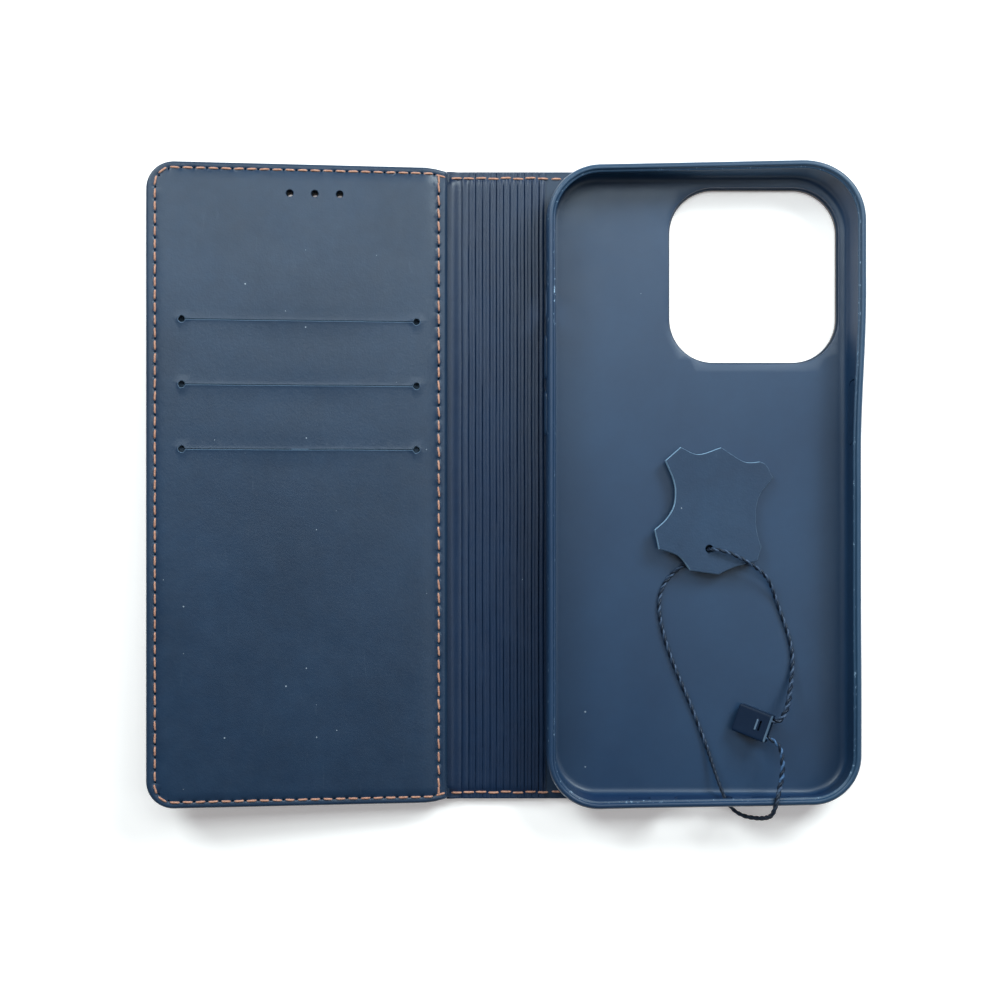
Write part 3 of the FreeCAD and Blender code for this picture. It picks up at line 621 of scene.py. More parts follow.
def along(segs, pitch):
    table, total = [], 0.0
    for s in segs:
        ln = (math.hypot(s[2][0] - s[1][0], s[2][1] - s[1][1]) if s[0] == "l"
              else abs(math.radians(s[4] - s[3])) * s[2])
        table.append((total, ln, s))
        total += ln
    n = int(round(total / pitch))
    out = []
    for i in range(n):
        d = (i + 0.5) * total / n
        for t0, ln, s in table:
            if t0 <= d <= t0 + ln:
                f = (d - t0) / ln
                if s[0] == "l":
                    (ax, ay), (bx, by) = s[1], s[2]
                    out.append((ax + (bx - ax) * f, ay + (by - ay) * f, math.degrees(math.atan2(by - ay, bx - ax))))
                else:
                    (cx, cy), r, a0, a1 = s[1], s[2], s[3], s[4]
                    a = a0 + (a1 - a0) * f
                    out.append((cx + r * math.cos(math.radians(a)), cy + r * math.sin(math.radians(a)),
                                a + (90 if a1 > a0 else -90)))
                break
    return out, total / n


# ---------------------------------------------------------------- front cover
SU, SH, SR = U_FREE - 2.15, COVER_HALF_L - 1.6, 4.2
cover_segs = [("l", (-U_LINE - 0.25, -SH), (-SU + SR, -SH)),
              ("a", (-SU + SR, -SH + SR), SR, 270, 180),
              ("l", (-SU, -SH + SR), (-SU, SH - SR)),
              ("a", (-SU + SR, SH - SR), SR, 180, 90),
              ("l", (-SU + SR, SH), (-U_LINE - 0.25, SH))]
cover_st, cover_pitch = along(cover_segs, 3.0)
hinge_x = -4.25
HN = 46
hinge_st = [(hinge_x, (i - (HN - 1) / 2.0) * 3.2, 90) for i in range(HN)]
hinge_ends = [(hinge_x, s_ * (HN / 2.0 * 3.2 + 0.35), 90) for s_ in (-1, 1)]


def seam_d(x, y):
    """distance from the cover's stitch line"""
    ax, ay = abs(x + SU), SH - abs(y)
    if x < -SU + SR and abs(y) > SH - SR:
        d = abs(math.hypot(x + SU - SR, abs(y) - (SH - SR)) - SR)
    else:
        d = min(ax, abs(ay))
    return min(d, abs(x - hinge_x) * 1.15)


SLITS = (39.1, 23.7, 8.45)
SLIT_A, SLIT_B = 8.85, 65.7


def v_top(x, y):
    """the lining's upper face: puffed a little between its seams, wavier near the slits, sloping off at the hinge"""
    z = V_TOP + 0.12 - 0.75 * smooth01((x + 8.0) / 5.0) - 0.35 * smooth01((x + 2.9) / 0.8)
    d = seam_d(x, y)
    z -= 0.34 * math.exp(-(d / 0.75) ** 2)
    z += 0.06 * nz(x, y, 3.1, 0.045) + 0.05 * nz(x, y, 9.7, 0.12)
    for s in SLITS:
        if -SLIT_B - 0.2 < x < -SLIT_A + 0.2:
            z += 0.07 * math.exp(-((abs(y - s) - 0.2) / 0.32) ** 2)
        if -SLIT_B - 2 < x < -SLIT_A + 2:
            e = math.exp(-((y - s) / 2.4) ** 2)
            bow = math.sin(math.pi * min(1, max(0, (-x - SLIT_A) / (SLIT_B - SLIT_A))))
            z += (0.16 if y < s else -0.10) * e * bow
        for cx in (-SLIT_B + 0.78, -SLIT_A - 0.78):
            q = math.hypot(x - cx, y - s)
            if q < 2.0:
                z += 0.09 * math.exp(-((q - 0.98) / 0.22) ** 2) * (1 + 0.5 * nz(x, y, 2.0, 0.9))
    return z


def slit_outline(s):
    """a thin wavy slot with round ends"""
    a, b2 = -SLIT_B, -SLIT_A
    r, w = 0.78, 0.055
    dx = math.sqrt(r * r - w * w)
    pts = []
    n = 26
    lx, rx = a + r + dx, b2 - r - dx

    def wob(x):
        return 0.13 * nz(x, s * 3.0, 1.0, 0.07) + 0.05 * nz(x, s, 5.0, 0.3)

    for i in range(n + 1):
        x = lx + (rx - lx) * i / n
        pts.append((x, s - w + wob(x) * math.sin(math.pi * i / n)))
    a0 = math.degrees(math.atan2(-w, -dx))
    cx = b2 - r

    def rag(t, i, k):
        return r * (1 + math.sin(math.pi * i / 14) * (0.05 * math.sin(3 * t + s + k) + 0.05 * math.sin(5 * t + 2 * s + k) + 0.01))

    for i in range(1, 14):
        t = math.radians(a0 - 2 * a0 * i / 14)
        pts.append((cx + rag(t, i, 0) * math.cos(t), s + rag(t, i, 0) * math.sin(t)))
    for i in range(n + 1):
        x = rx + (lx - rx) * i / n
        pts.append((x, s + w + wob(x) * math.sin(math.pi * i / n)))
    cx = a + r
    a0 = math.degrees(math.atan2(w, dx))
    a1 = 360 + math.degrees(math.atan2(-w, dx))
    for i in range(1, 14):
        t = math.radians(a0 + (a1 - a0) * i / 14)
        pts.append((cx + rag(t, i, 2) * math.cos(t), s + rag(t, i, 2) * math.sin(t)))
    return np.array(pts)


def disc(cx, cy, r, n, ph=0.0):
    return np.array([(cx + r * math.cos(2 * math.pi * i / n + ph), cy + r * math.sin(2 * math.pi * i / n + ph)) for i in range(n)])


def needle_holes(points, pitch):
    out = []
    for i in range(len(points) - 1):
        (ax, ay, aa), (bx, by, ba) = points[i], points[i + 1]
        out.append(((ax + bx) / 2, (ay + by) / 2))
    return out


nh = needle_holes(cover_st, cover_pitch)
# the points on the corner arcs sit on the arc and not on its chord
nh = [(x, y) for x, y in nh]
hh = needle_holes(hinge_st, 3.2)
cover_rect = (-U_FREE, -COVER_HALF_L, -U_LINE, COVER_HALF_L)
CR = [COVER_R, 0.6, 0.6, COVER_R]
b = Build()


def lring(d, **k):
    return rring(*cover_rect, CR, d, nc=16, step=2.4, **k)


def zlow(x, y):
    return 2.72 - 1.45 * smooth01((x + U_LINE + 2.2) / 1.6)


rings = [(lring(1.15), None)]
for d, dz in ((0.8, -0.05), (0.5, -0.15), (0.26, -0.32), (0.1, -0.56), (0.02, -0.86)):
    rings.append((lring(d), (lambda dz: lambda x, y: v_top(x, y) + dz)(dz)))
rings += [(lring(0.0), lambda x, y: min(4.0, v_top(x, y) - 1.25)), (lring(0.03), lambda x, y: zlow(x, y) + 0.22), (lring(0.16), lambda x, y: zlow(x, y) + 0.05),
          (lring(0.35), lambda x, y: zlow(x, y)), (lring(0.55), lambda x, y: zlow(x, y) + 0.1), (lring(0.58), lambda x, y: min(4.15, max(zlow(x, y) + 0.3, v_top(x, y) - 0.9))),
          (lring(0.9), None)]
# the hole walls take material 1, the painted shade
holes = [(slit_outline(s), 0.11, 1, 2) for s in SLITS]
holes += [(disc(-u, 69.3, 0.85, 18), 0.12, 1) for u in (39.7, 33.8, 27.9)]
holes += [(disc(x, y, 0.2, 7), 0.1, 1) for x, y in nh]
holes += [(disc(hinge_x, y, 0.27, 7), 0.1, 1) for x, y in hh]
near = [(x, s_ + o) for s_ in SLITS for o in (-0.95, -0.55, 0.55, 0.95) for x in np.linspace(-SLIT_B + 1.6, -SLIT_A - 1.6, 44)]
near += [(cx + q * math.cos(t), s_ + q * math.sin(t)) for s_ in SLITS for cx in (-SLIT_B + 0.78, -SLIT_A - 0.78)
         for q in (1.02, 1.3) for t in np.linspace(0.35, 2 * math.pi - 0.35, 17)
         if abs(math.sin(t)) > 0.3 or (math.cos(t) > 0) == (cx > -30)]
near += [(hinge_x + o, y) for o in (-1.1, -0.6, 0.6) for y in np.linspace(-SH + 1.2, SH - 1.2, 97)]
near += [(-SU + o, y) for o in (-0.5, 0.5, 1.1) for y in np.linspace(-SH + SR + 1, SH - SR - 1, 91)]
near += [(x, s_ * (SH + o)) for s_ in (-1, 1) for o in (0.5, -0.5, -1.1) for x in np.linspace(-SU + SR + 1, hinge_x - 1.7, 38)]
near += [(x, y) for x in (-3.3, -2.9, -2.6, -2.4) for y in np.linspace(-COVER_HALF_L + 2.6, COVER_HALF_L - 2.6, 76)]
plate(b, rings, holes, v_top, lambda x, y: 4.2 - 1.95 * smooth01((x + 4.6) / 2.2), 1.9, 2.4, extra=near)
rest = np.array(b.v)
lining = make_obj("cover_lining_leather", cover_place(b.v), b.f, [LINING, HOLE_SHADE, CUT], b.m, rest)
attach(lining, "front_cover")
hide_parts("cover_lining")

# outer leather of the cover, with its turned hem and a stitching groove
b = Build()
OX1 = -1.55


def oring(d):
    return rring(-U_FREE + 0.0, -COVER_HALF_L, OX1, COVER_HALF_L, [COVER_R, 0, 0, COVER_R], d, nc=16, step=2.4, open_x1=True)


rings = [(oring(3.7), None), (oring(3.6), 2.55), (oring(0.55), 2.62), (oring(0.2), 2.55), (oring(0.02), 2.3), (oring(-0.02), 1.4),
         (oring(0.02), 0.75), (oring(0.14), 0.36), (oring(0.36), 0.12), (oring(0.7), 0.02), (oring(1.2), 0.0),
         (oring(1.58), 0.0), (oring(1.66), 0.14), (oring(1.9), 0.2), (oring(2.14), 0.14), (oring(2.22), 0.0), (oring(2.6), None)]
holes = [(disc(-u, 69.3, 0.85, 18), 0.12, 0) for u in (39.7, 33.8, 27.9)]
plate(b, rings, holes, lambda x, y: 1.22, lambda x, y: 0.0, 8.0, 5.0)
cov = make_obj("cover_outer_leather", cover_place(b.v), b.f, [OUTER], b.m, np.array(b.v))
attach(cov, "front_cover")
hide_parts("cover_leather")

items = []
for x, y, a in cover_st:
    items.append((x, y, v_top(x, y) + 0.17, a, cover_pitch * 0.77, 1))
for x, y, a in hinge_st + hinge_ends:
    items.append((x, y, v_top(x, y) + 0.17, a + 5.0, 3.2 * 0.78, 1))
sub, _ = along([("l", (OX1 - 0.3, -SH), (-SU + SR, -SH)), cover_segs[1], cover_segs[2], cover_segs[3],
                ("l", (-SU + SR, SH), (OX1 - 0.3, SH))], 3.0)
for x, y, a in sub:
    items.append((x, y, 0.12, a, 2.3, -1))
for x, y, a in hinge_st:
    if abs(y) < SH - 1.5:
        items.append((x, y, -0.03, a - 5.0, 2.4, -1))
st = stitches("cover_thread", items, place=cover_place)
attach(st, "front_cover")
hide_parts("cover_stitching")

# ---------------------------------------------------------------- back panel
WIN = (-7.4, 29.5, 34.0, 72.3)
BX1 = 37.4


def bring(d):
    return rring(SPLITS[0], -HALF_L, BX1, HALF_L, [0, TRAY_R, TRAY_R, 0], d, nc=18, step=3.0, open_x0=True)


win_leather = rring(WIN[0] + 0.4, WIN[1] + 0.4, WIN[2] - 0.4, WIN[3] - 0.4, 10.6, 0, nc=16, step=3.0)
b = Build()
rings = [(bring(0.5), None), (bring(0.2), 1.13), (bring(0.04), 0.9), (bring(0.0), 0.6), (bring(0.05), 0.34), (bring(0.2), 0.12),
         (bring(0.5), 0.01), (bring(1.0), 0.0), (bring(1.46), 0.0), (bring(1.54), 0.15), (bring(1.8), 0.22), (bring(2.06), 0.15), (bring(2.14), 0.0),
         (bring(2.6), None)]
plate(b, rings, [(win_leather, 0.1, 1)], lambda x, y: 1.2, lambda x, y: 0.0, 6.0, 5.0)
backp = make_obj("back_outer_leather", b.v, b.f, [OUTER, RAW], b.m)
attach(backp, "tray")
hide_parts("back_leather")

gi = 1.8
rb = TRAY_R - gi
bsegs = [("l", (SPLITS[0] + 0.2, -HALF_L + gi), (BX1 - TRAY_R, -HALF_L + gi)),
         ("a", (BX1 - TRAY_R, -HALF_L + TRAY_R), rb, 270, 360),
         ("l", (BX1 - gi, -HALF_L + TRAY_R), (BX1 - gi, HALF_L - TRAY_R)),
         ("a", (BX1 - TRAY_R, HALF_L - TRAY_R), rb, 0, 90),
         ("l", (BX1 - TRAY_R, HALF_L - gi), (SPLITS[0] + 0.2, HALF_L - gi))]
bst, _ = along(bsegs, 3.0)
items = [(x, y, 0.13, a, 2.3, -1) for x, y, a in bst]
items += [(x, s * (HALF_L - gi), 1.33, 0, 2.3, 1) for s in (-1, 1) for x in (-34.6, -31.6, -28.6)]
bt = stitches("back_thread", items)
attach(bt, "tray")
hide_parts("back_stitching")

# ---------------------------------------------------------------- spine
GROOVES = [-55.9, -54.25, -52.55, -50.75, -49.2, -47.45, -45.87, -44.05, -42.34, -40.55, -38.85]


def rib_top(x, y):
    """height of the ribbed lining's upper face"""
    xx = x + 0.10 * nz(0.3 * x, y, 2.0, 0.06) + 0.05 * nz(x, y, 7.0, 0.3)
    base = 1.55
    if xx > GROOVES[-1]:                       # plain band beside the tray
        t = (xx - GROOVES[-1]) / 1.3
        h = base + 0.42 * math.sqrt(max(0.0, 1 - (2 * min(t, 1) - 1) ** 2))
        if t > 1:
            h = base
        return h
    if xx < GROOVES[0]:                        # broad ridge, then flat up to the cover
        t = (GROOVES[0] - xx) / 1.75
        if t < 1:
            return base + 0.15 + 0.42 * math.sqrt(max(0.0, 1 - (2 * t - 1) ** 2))
        return base + 0.15 + 1.15 * smooth01((t - 1) / 1.5)
    for i in range(len(GROOVES) - 1):
        a, c = GROOVES[i], GROOVES[i + 1]
        if a <= xx <= c:
            t = (xx - a) / (c - a)
            h = math.sqrt(max(0.0, 1 - abs(2 * t - 1) ** 8))
            deep = 0.22 + 0.10 * nz(i * 5.0, y, 9.0, 0.03)
            h += 0.14 * math.exp(-((t - 0.86) / 0.06) ** 2) - deep * math.exp(-((t - 0.50) / 0.065) ** 2) + 0.12 * math.exp(-((t - 0.36) / 0.06) ** 2)
            amp = 0.44 + 0.07 * nz(i * 7.0, y, 0.0, 0.05)
            return base + 0.15 + amp * h
    return base + 0.15


def rib_z(x, y):
    z = rib_top(x, y)
    e = HALF_L - abs(y)
    k = 1.0 - 0.55 * math.exp(-((e - gi) / 0.8) ** 2) - 0.45 * smooth01((gi - e) / 1.2)
    z = 1.5 + (z - 1.5) * max(0.12, k)
    z -= 0.5 * smooth01((0.45 - e) / 0.45) ** 2
    return z


HE = HALF_L - 0.25
edge = np.array([0, 0.15, 0.45, 0.85, 1.25, 1.55, 1.85, 2.25, 2.75, 3.55])
ys = np.concatenate([-HE + edge, np.linspace(-HE + 5, HE - 5, 48), HE - edge[::-1]])
LX = [-37.22] + SPLITS[1:4] + [-61.3]
for i in range(4):
    xa, xb = LX[i], LX[i + 1]
    n = int(round((xa - xb) / 0.075))
    xs = np.linspace(xa, xb, n + 1)
    b = Build()
    prev = None
    for j, x in enumerate(xs):
        ring = [(x, y, rib_z(x, y)) for y in ys] + [(x, HE, 1.1), (x, 40, 1.1), (x, 0, 1.1), (x, -40, 1.1), (x, -HE, 1.1)]
        ids = b.add(ring)
        if prev is not None:
            b.bridge(prev, ids)
        else:
            b.fan(ids)
        prev = ids
    b.fan(prev)
    o = make_obj("spine_ribbed_lining_%d" % (i + 1), b.v, b.f, RIBS, sharp=80)
    if i < 3:
        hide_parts("spine_ribs_" + "abc"[i])
    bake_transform(o)
    # outer leather behind it
    xa, xb = SPLITS[i], SPLITS[i + 1]
    xs = np.linspace(xa, xb, 25)
    b = Build()
    prev = None
    H = HALF_L
    rim = [(1.4, 0.0), (0.7, 0.0), (0.35, 0.06), (0.12, 0.24), (0.0, 0.55), (0.03, 0.85), (0.18, 1.08), (0.4, 1.18), (0.8, 1.2), (6.2, 1.2), (41, 1.2)]
    gro = [(1.4, 0.0), (1.46, 0.0), (1.54, 0.15), (1.8, 0.22), (2.06, 0.15), (2.14, 0.0), (3.2, 0), (26, 0), (51, 0)]
    prof = [(-H + q, z) for q, z in rim] + [(0, 1.2)] + [(H - q, z) for q, z in rim[::-1]]
    prof += [(H - q, z) for q, z in gro[1:]] + [(0, 0)] + [(-H + q, z) for q, z in gro[:0:-1]]
    for x in xs:
        ids = b.add([(x, y, z) for y, z in prof])
        if prev is not None:
            b.bridge(prev, ids)
        else:
            b.fan(ids)
        prev = ids
    b.fan(prev)
    o = make_obj("spine_outer_leather_%d" % (i + 1), b.v, b.f, OUTER, sharp=50)
    if i < 3:
        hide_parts("spine_leather_" + "abc"[i])
    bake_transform(o)

# thread across the spine's two ends, on the lining and on the outer leather
STX = [-37.9 - 3.0 * k for k in range(8)]
groups = [[], [], [], []]
for x in STX:
    for i in range(4):
        if SPLITS[i + 1] < x <= SPLITS[i]:
            groups[i].append(x)
for i, xs in enumerate(groups):
    items = []
    for x in xs:
        for s in (-1, 1):
            y = s * (HALF_L - gi)
            zt = max(rib_z(x + q, y) for q in (-1, -0.5, 0, 0.5, 1))
            items.append((x, y + 0.12 * math.sin(x * 0.9), zt + 0.08, 0, 2.75, 1))
            items.append((x, y, 0.13, 0, 2.3, -1))
    o = stitches("spine_thread_%d" % (i + 1), items)
    if i < 3:
        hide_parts("spine_stitching_" + "abc"[i])
    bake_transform(o)

# ---------------------------------------------------------------- tray
def tring(d, n=20):
    return rring(-TRAY_HX, -TRAY_HY, TRAY_HX, TRAY_HY, TRAY_RADII, d, nc=n, step=2.5)


def flex(pts):
    """the soft tray's rim does not stand quite true above its floor"""
    v = np.asarray(pts, float).reshape(-1, 3).copy()
    for p in v:
        x, y, z = p
        w = smooth01((z - 2.9) / 6.5)
        if w <= 0:
            continue
        p[1] += 0.0203 * (x + 3.0) * w + 0.10 * w * nz(x, y, 3.0, 0.03)
        p[0] += 1.2 * w * smooth01((x - 10) / 27) * smooth01((y - 6) / 40) + 0.12 * w * nz(x, y, 8.0, 0.03)
    return v


prof = [(1.3, 1.2), (0.62, 1.2), (0.34, 1.3), (0.16, 1.52), (0.1, 1.85), (0.05, 3.0), (0.0, 5.0), (0.0, 7.0), (0.03, 9.0), (0.07, 10.3),
        (0.11, 10.8), (0.19, 11.16), (0.32, 11.46), (0.5, 11.69), (0.72, 11.84), (0.95, 11.9), (1.15, 11.9), (1.32, 11.86),
        (1.44, 11.77), (1.51, 11.64), (1.55, 11.5), (1.6, 11.4), (1.7, 11.34), (1.85, 11.3), (1.98, 11.24), (2.07, 11.14), (2.11, 11.0),
        (2.09, 10.86), (1.98, 10.74), (1.8, 10.64), (1.6, 10.48), (1.46, 10.2), (1.42, 9.8), (1.4, 8.0), (1.4, 5.0),
        (1.42, 4.3), (1.5, 3.7), (1.68, 3.25), (1.98, 2.9), (2.4, 2.68), (2.9, 2.6), (3.3, 2.6)]
b = Build()
prev = None
first = None
for d, z in prof:
    ring = tring(d)
    if d == 3.3:
        break
    ids = b.add([(x, y, z) for x, y in ring])
    if prev is not None:
        b.bridge(prev, ids)
    else:
        first = ids
    prev = ids


def floor_z(x, y):
    return Z_FLOOR + 0.05 * nz(x, y, 4.0, 0.04) * smooth01((34.5 - abs(x)) / 6) * smooth01((73 - abs(y)) / 6)


win = rring(*WIN, 11.0, 0, nc=16, step=3.0)
win_top = offset_poly(win, -0.22)
vo, tr, where = region(tring(3.3), [win_top], 3.0)
top = b.add([(x, y, floor_z(x, y)) for x, y in vo])
b.tri(tr, top)
b.bridge(prev, [top[i] for i in where[0]])
w0 = [top[i] for i in where[1]]
w1 = b.add([(x, y, Z_FLOOR - 0.07) for x, y in offset_poly(win, -0.07)])
w2 = b.add([(x, y, Z_FLOOR - 0.25) for x, y in win])
w3 = b.add([(x, y, 1.3) for x, y in win])
b.bridge(w0, w1)
b.bridge(w1, w2)
b.bridge(w2, w3)
vo, tr, where = region(tring(1.3), [offset_poly(win, -0.1)], 8.0)
bot = b.add([(x, y, 1.2) for x, y in vo])
b.tri(tr, bot)
b.bridge(first, [bot[i] for i in where[0]])
b.bridge(w3, [bot[i] for i in where[1]])
tray = make_obj("tray_body", b.v, b.f, TPU, sharp=45)


def cutter(axis, a0, a1, z0, z1, d0, d1, r, flare=0.0):
    """rounded slot; axis 'y' goes through the bottom wall, axis 'x' through a side wall"""
    ring = rring(a0, z0, a1, z1, r, 0, nc=8, step=50)
    cb = Build()
    p = None
    for d in (d0, d1):
        pts = [((q[0], d, q[1]) if axis == "y" else (d, q[0], q[1])) for q in ring]
        ids = cb.add(pts)
        if p is None:
            cb.fan(ids)
        else:
            cb.bridge(p, ids)
        p = ids
    cb.fan(p)
    return make_obj("cutter", cb.v, cb.f, TPU, smooth=False)


cuts = [cutter("y", -6.5, 7.5, 4.1, 8.7, -80, -73.2, 2.25),
        cutter("y", 11.9, 21.5, 5.5, 7.2, -80, -73.2, 0.84),
        cutter("y", -17.6, -12.1, 5.5, 7.2, -80, -73.2, 0.84),
        cutter("x", 40.6, 48.8, 4.1, 8.7, -40, -34.6, 2.25)]
KEYS = [("volume_up_key", "volume_up_pad", 31.0, 10.6, -1), ("volume_down_key", "volume_down_pad", 17.6, 10.6, -1),
        ("side_key", "side_button_pad", 17.0, 15.0, 1)]
for _, _, yc, ln, sd in KEYS:
    h = ln / 2 + 0.28
    xa, xb = (-40, -34.9) if sd < 0 else (34.9, 40)
    cuts.append(cutter("x", yc - h, yc + h, 4.55 - 0.28, 8.25 + 0.28, xa, xb, 1.5))
for c in cuts:
    md = tray.modifiers.new("cut", "BOOLEAN")
    md.operation = "DIFFERENCE"
    md.solver = "EXACT"
    md.object = c
dg = bpy.context.evaluated_depsgraph_get()
dg.update()
me = bpy.data.meshes.new_from_object(tray.evaluated_get(dg))
tray.modifiers.clear()
tray.data = me
for c in cuts:
    bpy.data.objects.remove(c)
me.shade_smooth()
me.set_sharp_from_angle(angle=math.radians(40))
at = me.attributes.get("rest_mm")
if at is not None:
    me.attributes.remove(at)
at = me.attributes.new("rest_mm", "FLOAT_VECTOR", "POINT")
co = np.array([v.co for v in me.vertices], float) * 1000
at.data.foreach_set("vector", co.astype(np.float32).ravel())
me.vertices.foreach_set("co", (flex(co) * K).astype(np.float32).ravel())
me.update()
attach(tray, "tray")
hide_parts("phone_shell")

for body, node, yc, ln, sd in KEYS:
    b = Build()
    prev = None
    ya, yb, za, zb = yc - ln / 2 - 0.13, yc + ln / 2 + 0.13, 4.55 - 0.13, 8.25 + 0.13
    steps = [(0.5, 35.9), (0.12, 35.86), (0.0, 36.0), (0.0, 37.0), (0.03, 37.25), (0.12, 37.45), (0.3, 37.58), (0.6, 37.66), (1.0, 37.7), (1.5, 37.72)]
    rings_ = []
    for d, x in steps:
        ring = rring(ya, za, yb, zb, 1.42, d, nc=8, step=1.2, rmin=0.05)
        ids = b.add([(sd * x, q[0], q[1]) for q in ring])
        if prev is not None:
            b.bridge(prev, ids)
        else:
            b.fan(ids)
        prev = ids
    b.fan(prev)
    o = make_obj(node + "_moulded", flex(b.v), b.f, PAD, rest=b.v, sharp=50)
    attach(o, body)
    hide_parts(node)

# ---------------------------------------------------------------- hang tag
TAG_OUT = [(-4.87, 8.93), (-0.77, 7.24), (5.02, 8.93), (10.57, 5.55), (12.50, 5.31), (14.43, 5.55),
           (15.88, 4.83), (17.57, 1.69), (14.43, -2.17), (13.46, -4.83), (13.22, -7.72), (13.46, -11.58),
           (14.43, -14.96), (13.46, -18.10), (11.05, -18.82), (7.67, -19.78), (4.05, -21.47),
           (-2.70, -20.51), (-5.12, -17.37), (-7.53, -16.17), (-10.18, -15.44), (-11.15, -10.86),
           (-8.49, -8.44), (-6.56, -5.31), (-6.08, -1.69), (-6.56, 1.21), (-8.49, 5.79)]
TAG_HOLE = (1.88, -15.44)
TAG_LOW = (17.2, 3.4)
TAG_DIR = (-0.747, -0.664)
TAG_TILT = math.radians(4.5)
TAG_Z = Z_FLOOR + 0.15


def cornered_spline(pts, corners, n):
    """outline through all the points, sharp at the listed ones and smooth at the rest"""
    p = np.array(pts, float)
    N = len(p)
    out = []
    cs = sorted(corners)
    for k, c0 in enumerate(cs):
        c1 = cs[(k + 1) % len(cs)]
        idx = [c0]
        while idx[-1] != c1:
            idx.append((idx[-1] + 1) % N)
        q = p[idx]
        q = np.vstack([2 * q[0] - q[1], q, 2 * q[-1] - q[-2]])
        for i in range(1, len(q) - 2):
            a, b_, c, d = q[i - 1], q[i], q[i + 1], q[i + 2]
            t = [0.0]
            for e, f in ((a, b_), (b_, c), (c, d)):
                t.append(t[-1] + max(np.linalg.norm(f - e), 1e-6) ** 0.5)
            for m_ in range(n):
                s_ = t[1] + (t[2] - t[1]) * m_ / n
                A1 = (t[1] - s_) / (t[1] - t[0]) * a + (s_ - t[0]) / (t[1] - t[0]) * b_
                A2 = (t[2] - s_) / (t[2] - t[1]) * b_ + (s_ - t[1]) / (t[2] - t[1]) * c
                A3 = (t[3] - s_) / (t[3] - t[2]) * c + (s_ - t[2]) / (t[3] - t[2]) * d
                B1 = (t[2] - s_) / (t[2] - t[0]) * A1 + (s_ - t[0]) / (t[2] - t[0]) * A2
                B2 = (t[3] - s_) / (t[3] - t[1]) * A2 + (s_ - t[1]) / (t[3] - t[1]) * A3
                out.append((t[2] - s_) / (t[2] - t[1]) * B1 + (s_ - t[1]) / (t[2] - t[1]) * B2)
    return np.array(out)


outline = cornered_spline(TAG_OUT, [0, 2, 5, 7, 12, 13, 16, 17, 20, 21, 26], 5)[::-1]
area = 0.5 * np.sum(outline[:, 0] * np.roll(outline[:, 1], -1) - np.roll(outline[:, 0], -1) * outline[:, 1])
if area < 0:
    outline = outline[::-1]


def tag_top(x, y):
    s = (x - TAG_LOW[0]) * TAG_DIR[0] + (y - TAG_LOW[1]) * TAG_DIR[1]
    w = (x - 3) * 0.664 - (y + 6) * 0.747
    return 1.3 + 0.05 * nz(x, y, 2.0, 0.15) + 0.0009 * w * w


def tag_bot(x, y):
    return tag_top(x, y) - 1.3


ax = Vector((-TAG_DIR[1], TAG_DIR[0], 0)).normalized()


def tag_place(v):
    v = np.asarray(v, float)
    from mathutils import Quaternion
    q = Quaternion(ax, -TAG_TILT)
    piv = Vector((TAG_LOW[0], TAG_LOW[1], 0))
    out = []
    for p in v:
        w = q @ (Vector(p) - piv) + piv
        out.append((w.x, w.y, w.z))
    out = np.array(out)
    return out


b = Build()
rings = [(offset_poly(outline, 0.03), None), (offset_poly(outline, 0.0), lambda x, y: tag_top(x, y) - 0.05),
         (offset_poly(outline, -0.05), lambda x, y: tag_top(x, y) - 0.3), (offset_poly(outline, -0.15), lambda x, y: tag_top(x, y) - 0.8),
         (offset_poly(outline, -0.12), lambda x, y: tag_bot(x, y) + 0.2), (offset_poly(outline, 0.08), lambda x, y: tag_bot(x, y) + 0.03),
         (offset_poly(outline, 0.3), None)]
# the tag's hole wall takes material 2, the painted shade
plate(b, rings, [(disc(*TAG_HOLE, 0.95, 20), 0.1, 2)], tag_top, tag_bot, 1.6, 2.4, mats=(0, 1, 0))
rest = np.array(b.v)
tv = tag_place(b.v)
tv[:, 2] += TAG_Z - tv[:, 2].min()
cad_tag_lo, cad_tag_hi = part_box("hang_tag")
tag = make_obj("hang_tag_leather", tv, b.f, [TAG, TAG_EDGE, HOLE_SHADE], b.m, rest, sharp=32)
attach(tag, "tag")
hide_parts("hang_tag")

# ---------------------------------------------------------------- cord
SEAL_L, HOLE_DEEP, HOLE_OFF = 8.5, 1.2, 2.05
sa, se = math.radians(-19.5), math.radians(26.0)
E1 = Vector((math.cos(se) * math.cos(sa), math.cos(se) * math.sin(sa), math.sin(se)))
E2 = Vector((-math.sin(sa), math.cos(sa), 0))
E3 = E1.cross(E2)
S_C = Vector((11.95, -56.9, Z_FLOOR - 0.07 + SEAL_L / 2 * math.sin(se) + 1.5 * math.cos(se))) - Vector((E3.x, E3.y, 0)) * 1.5


def seal_pt(u, w, t=0.0):
    return S_C + E1 * u + E2 * w + E3 * t


def seal_face(x, y):
    """upper face of the seal: chamfered towards the cord end, with a raised bar beside the release slot"""
    z = 1.5 - max(0.0, x - 3.85) * 1.1
    if 0.85 < x < 1.4 and abs(y) < 1.35:
        z += 0.16 * smooth01((1.35 - abs(y)) / 0.12) * smooth01((0.27 - abs(x - 1.125)) / 0.08)
    return z


b = Build()
srect = (-4.25, -3.4, 4.25, 3.4)


def sring(d):
    return rring(*srect, [0.55, 0.3, 0.3, 0.55], d, nc=6, step=0.5, rmin=0.05)


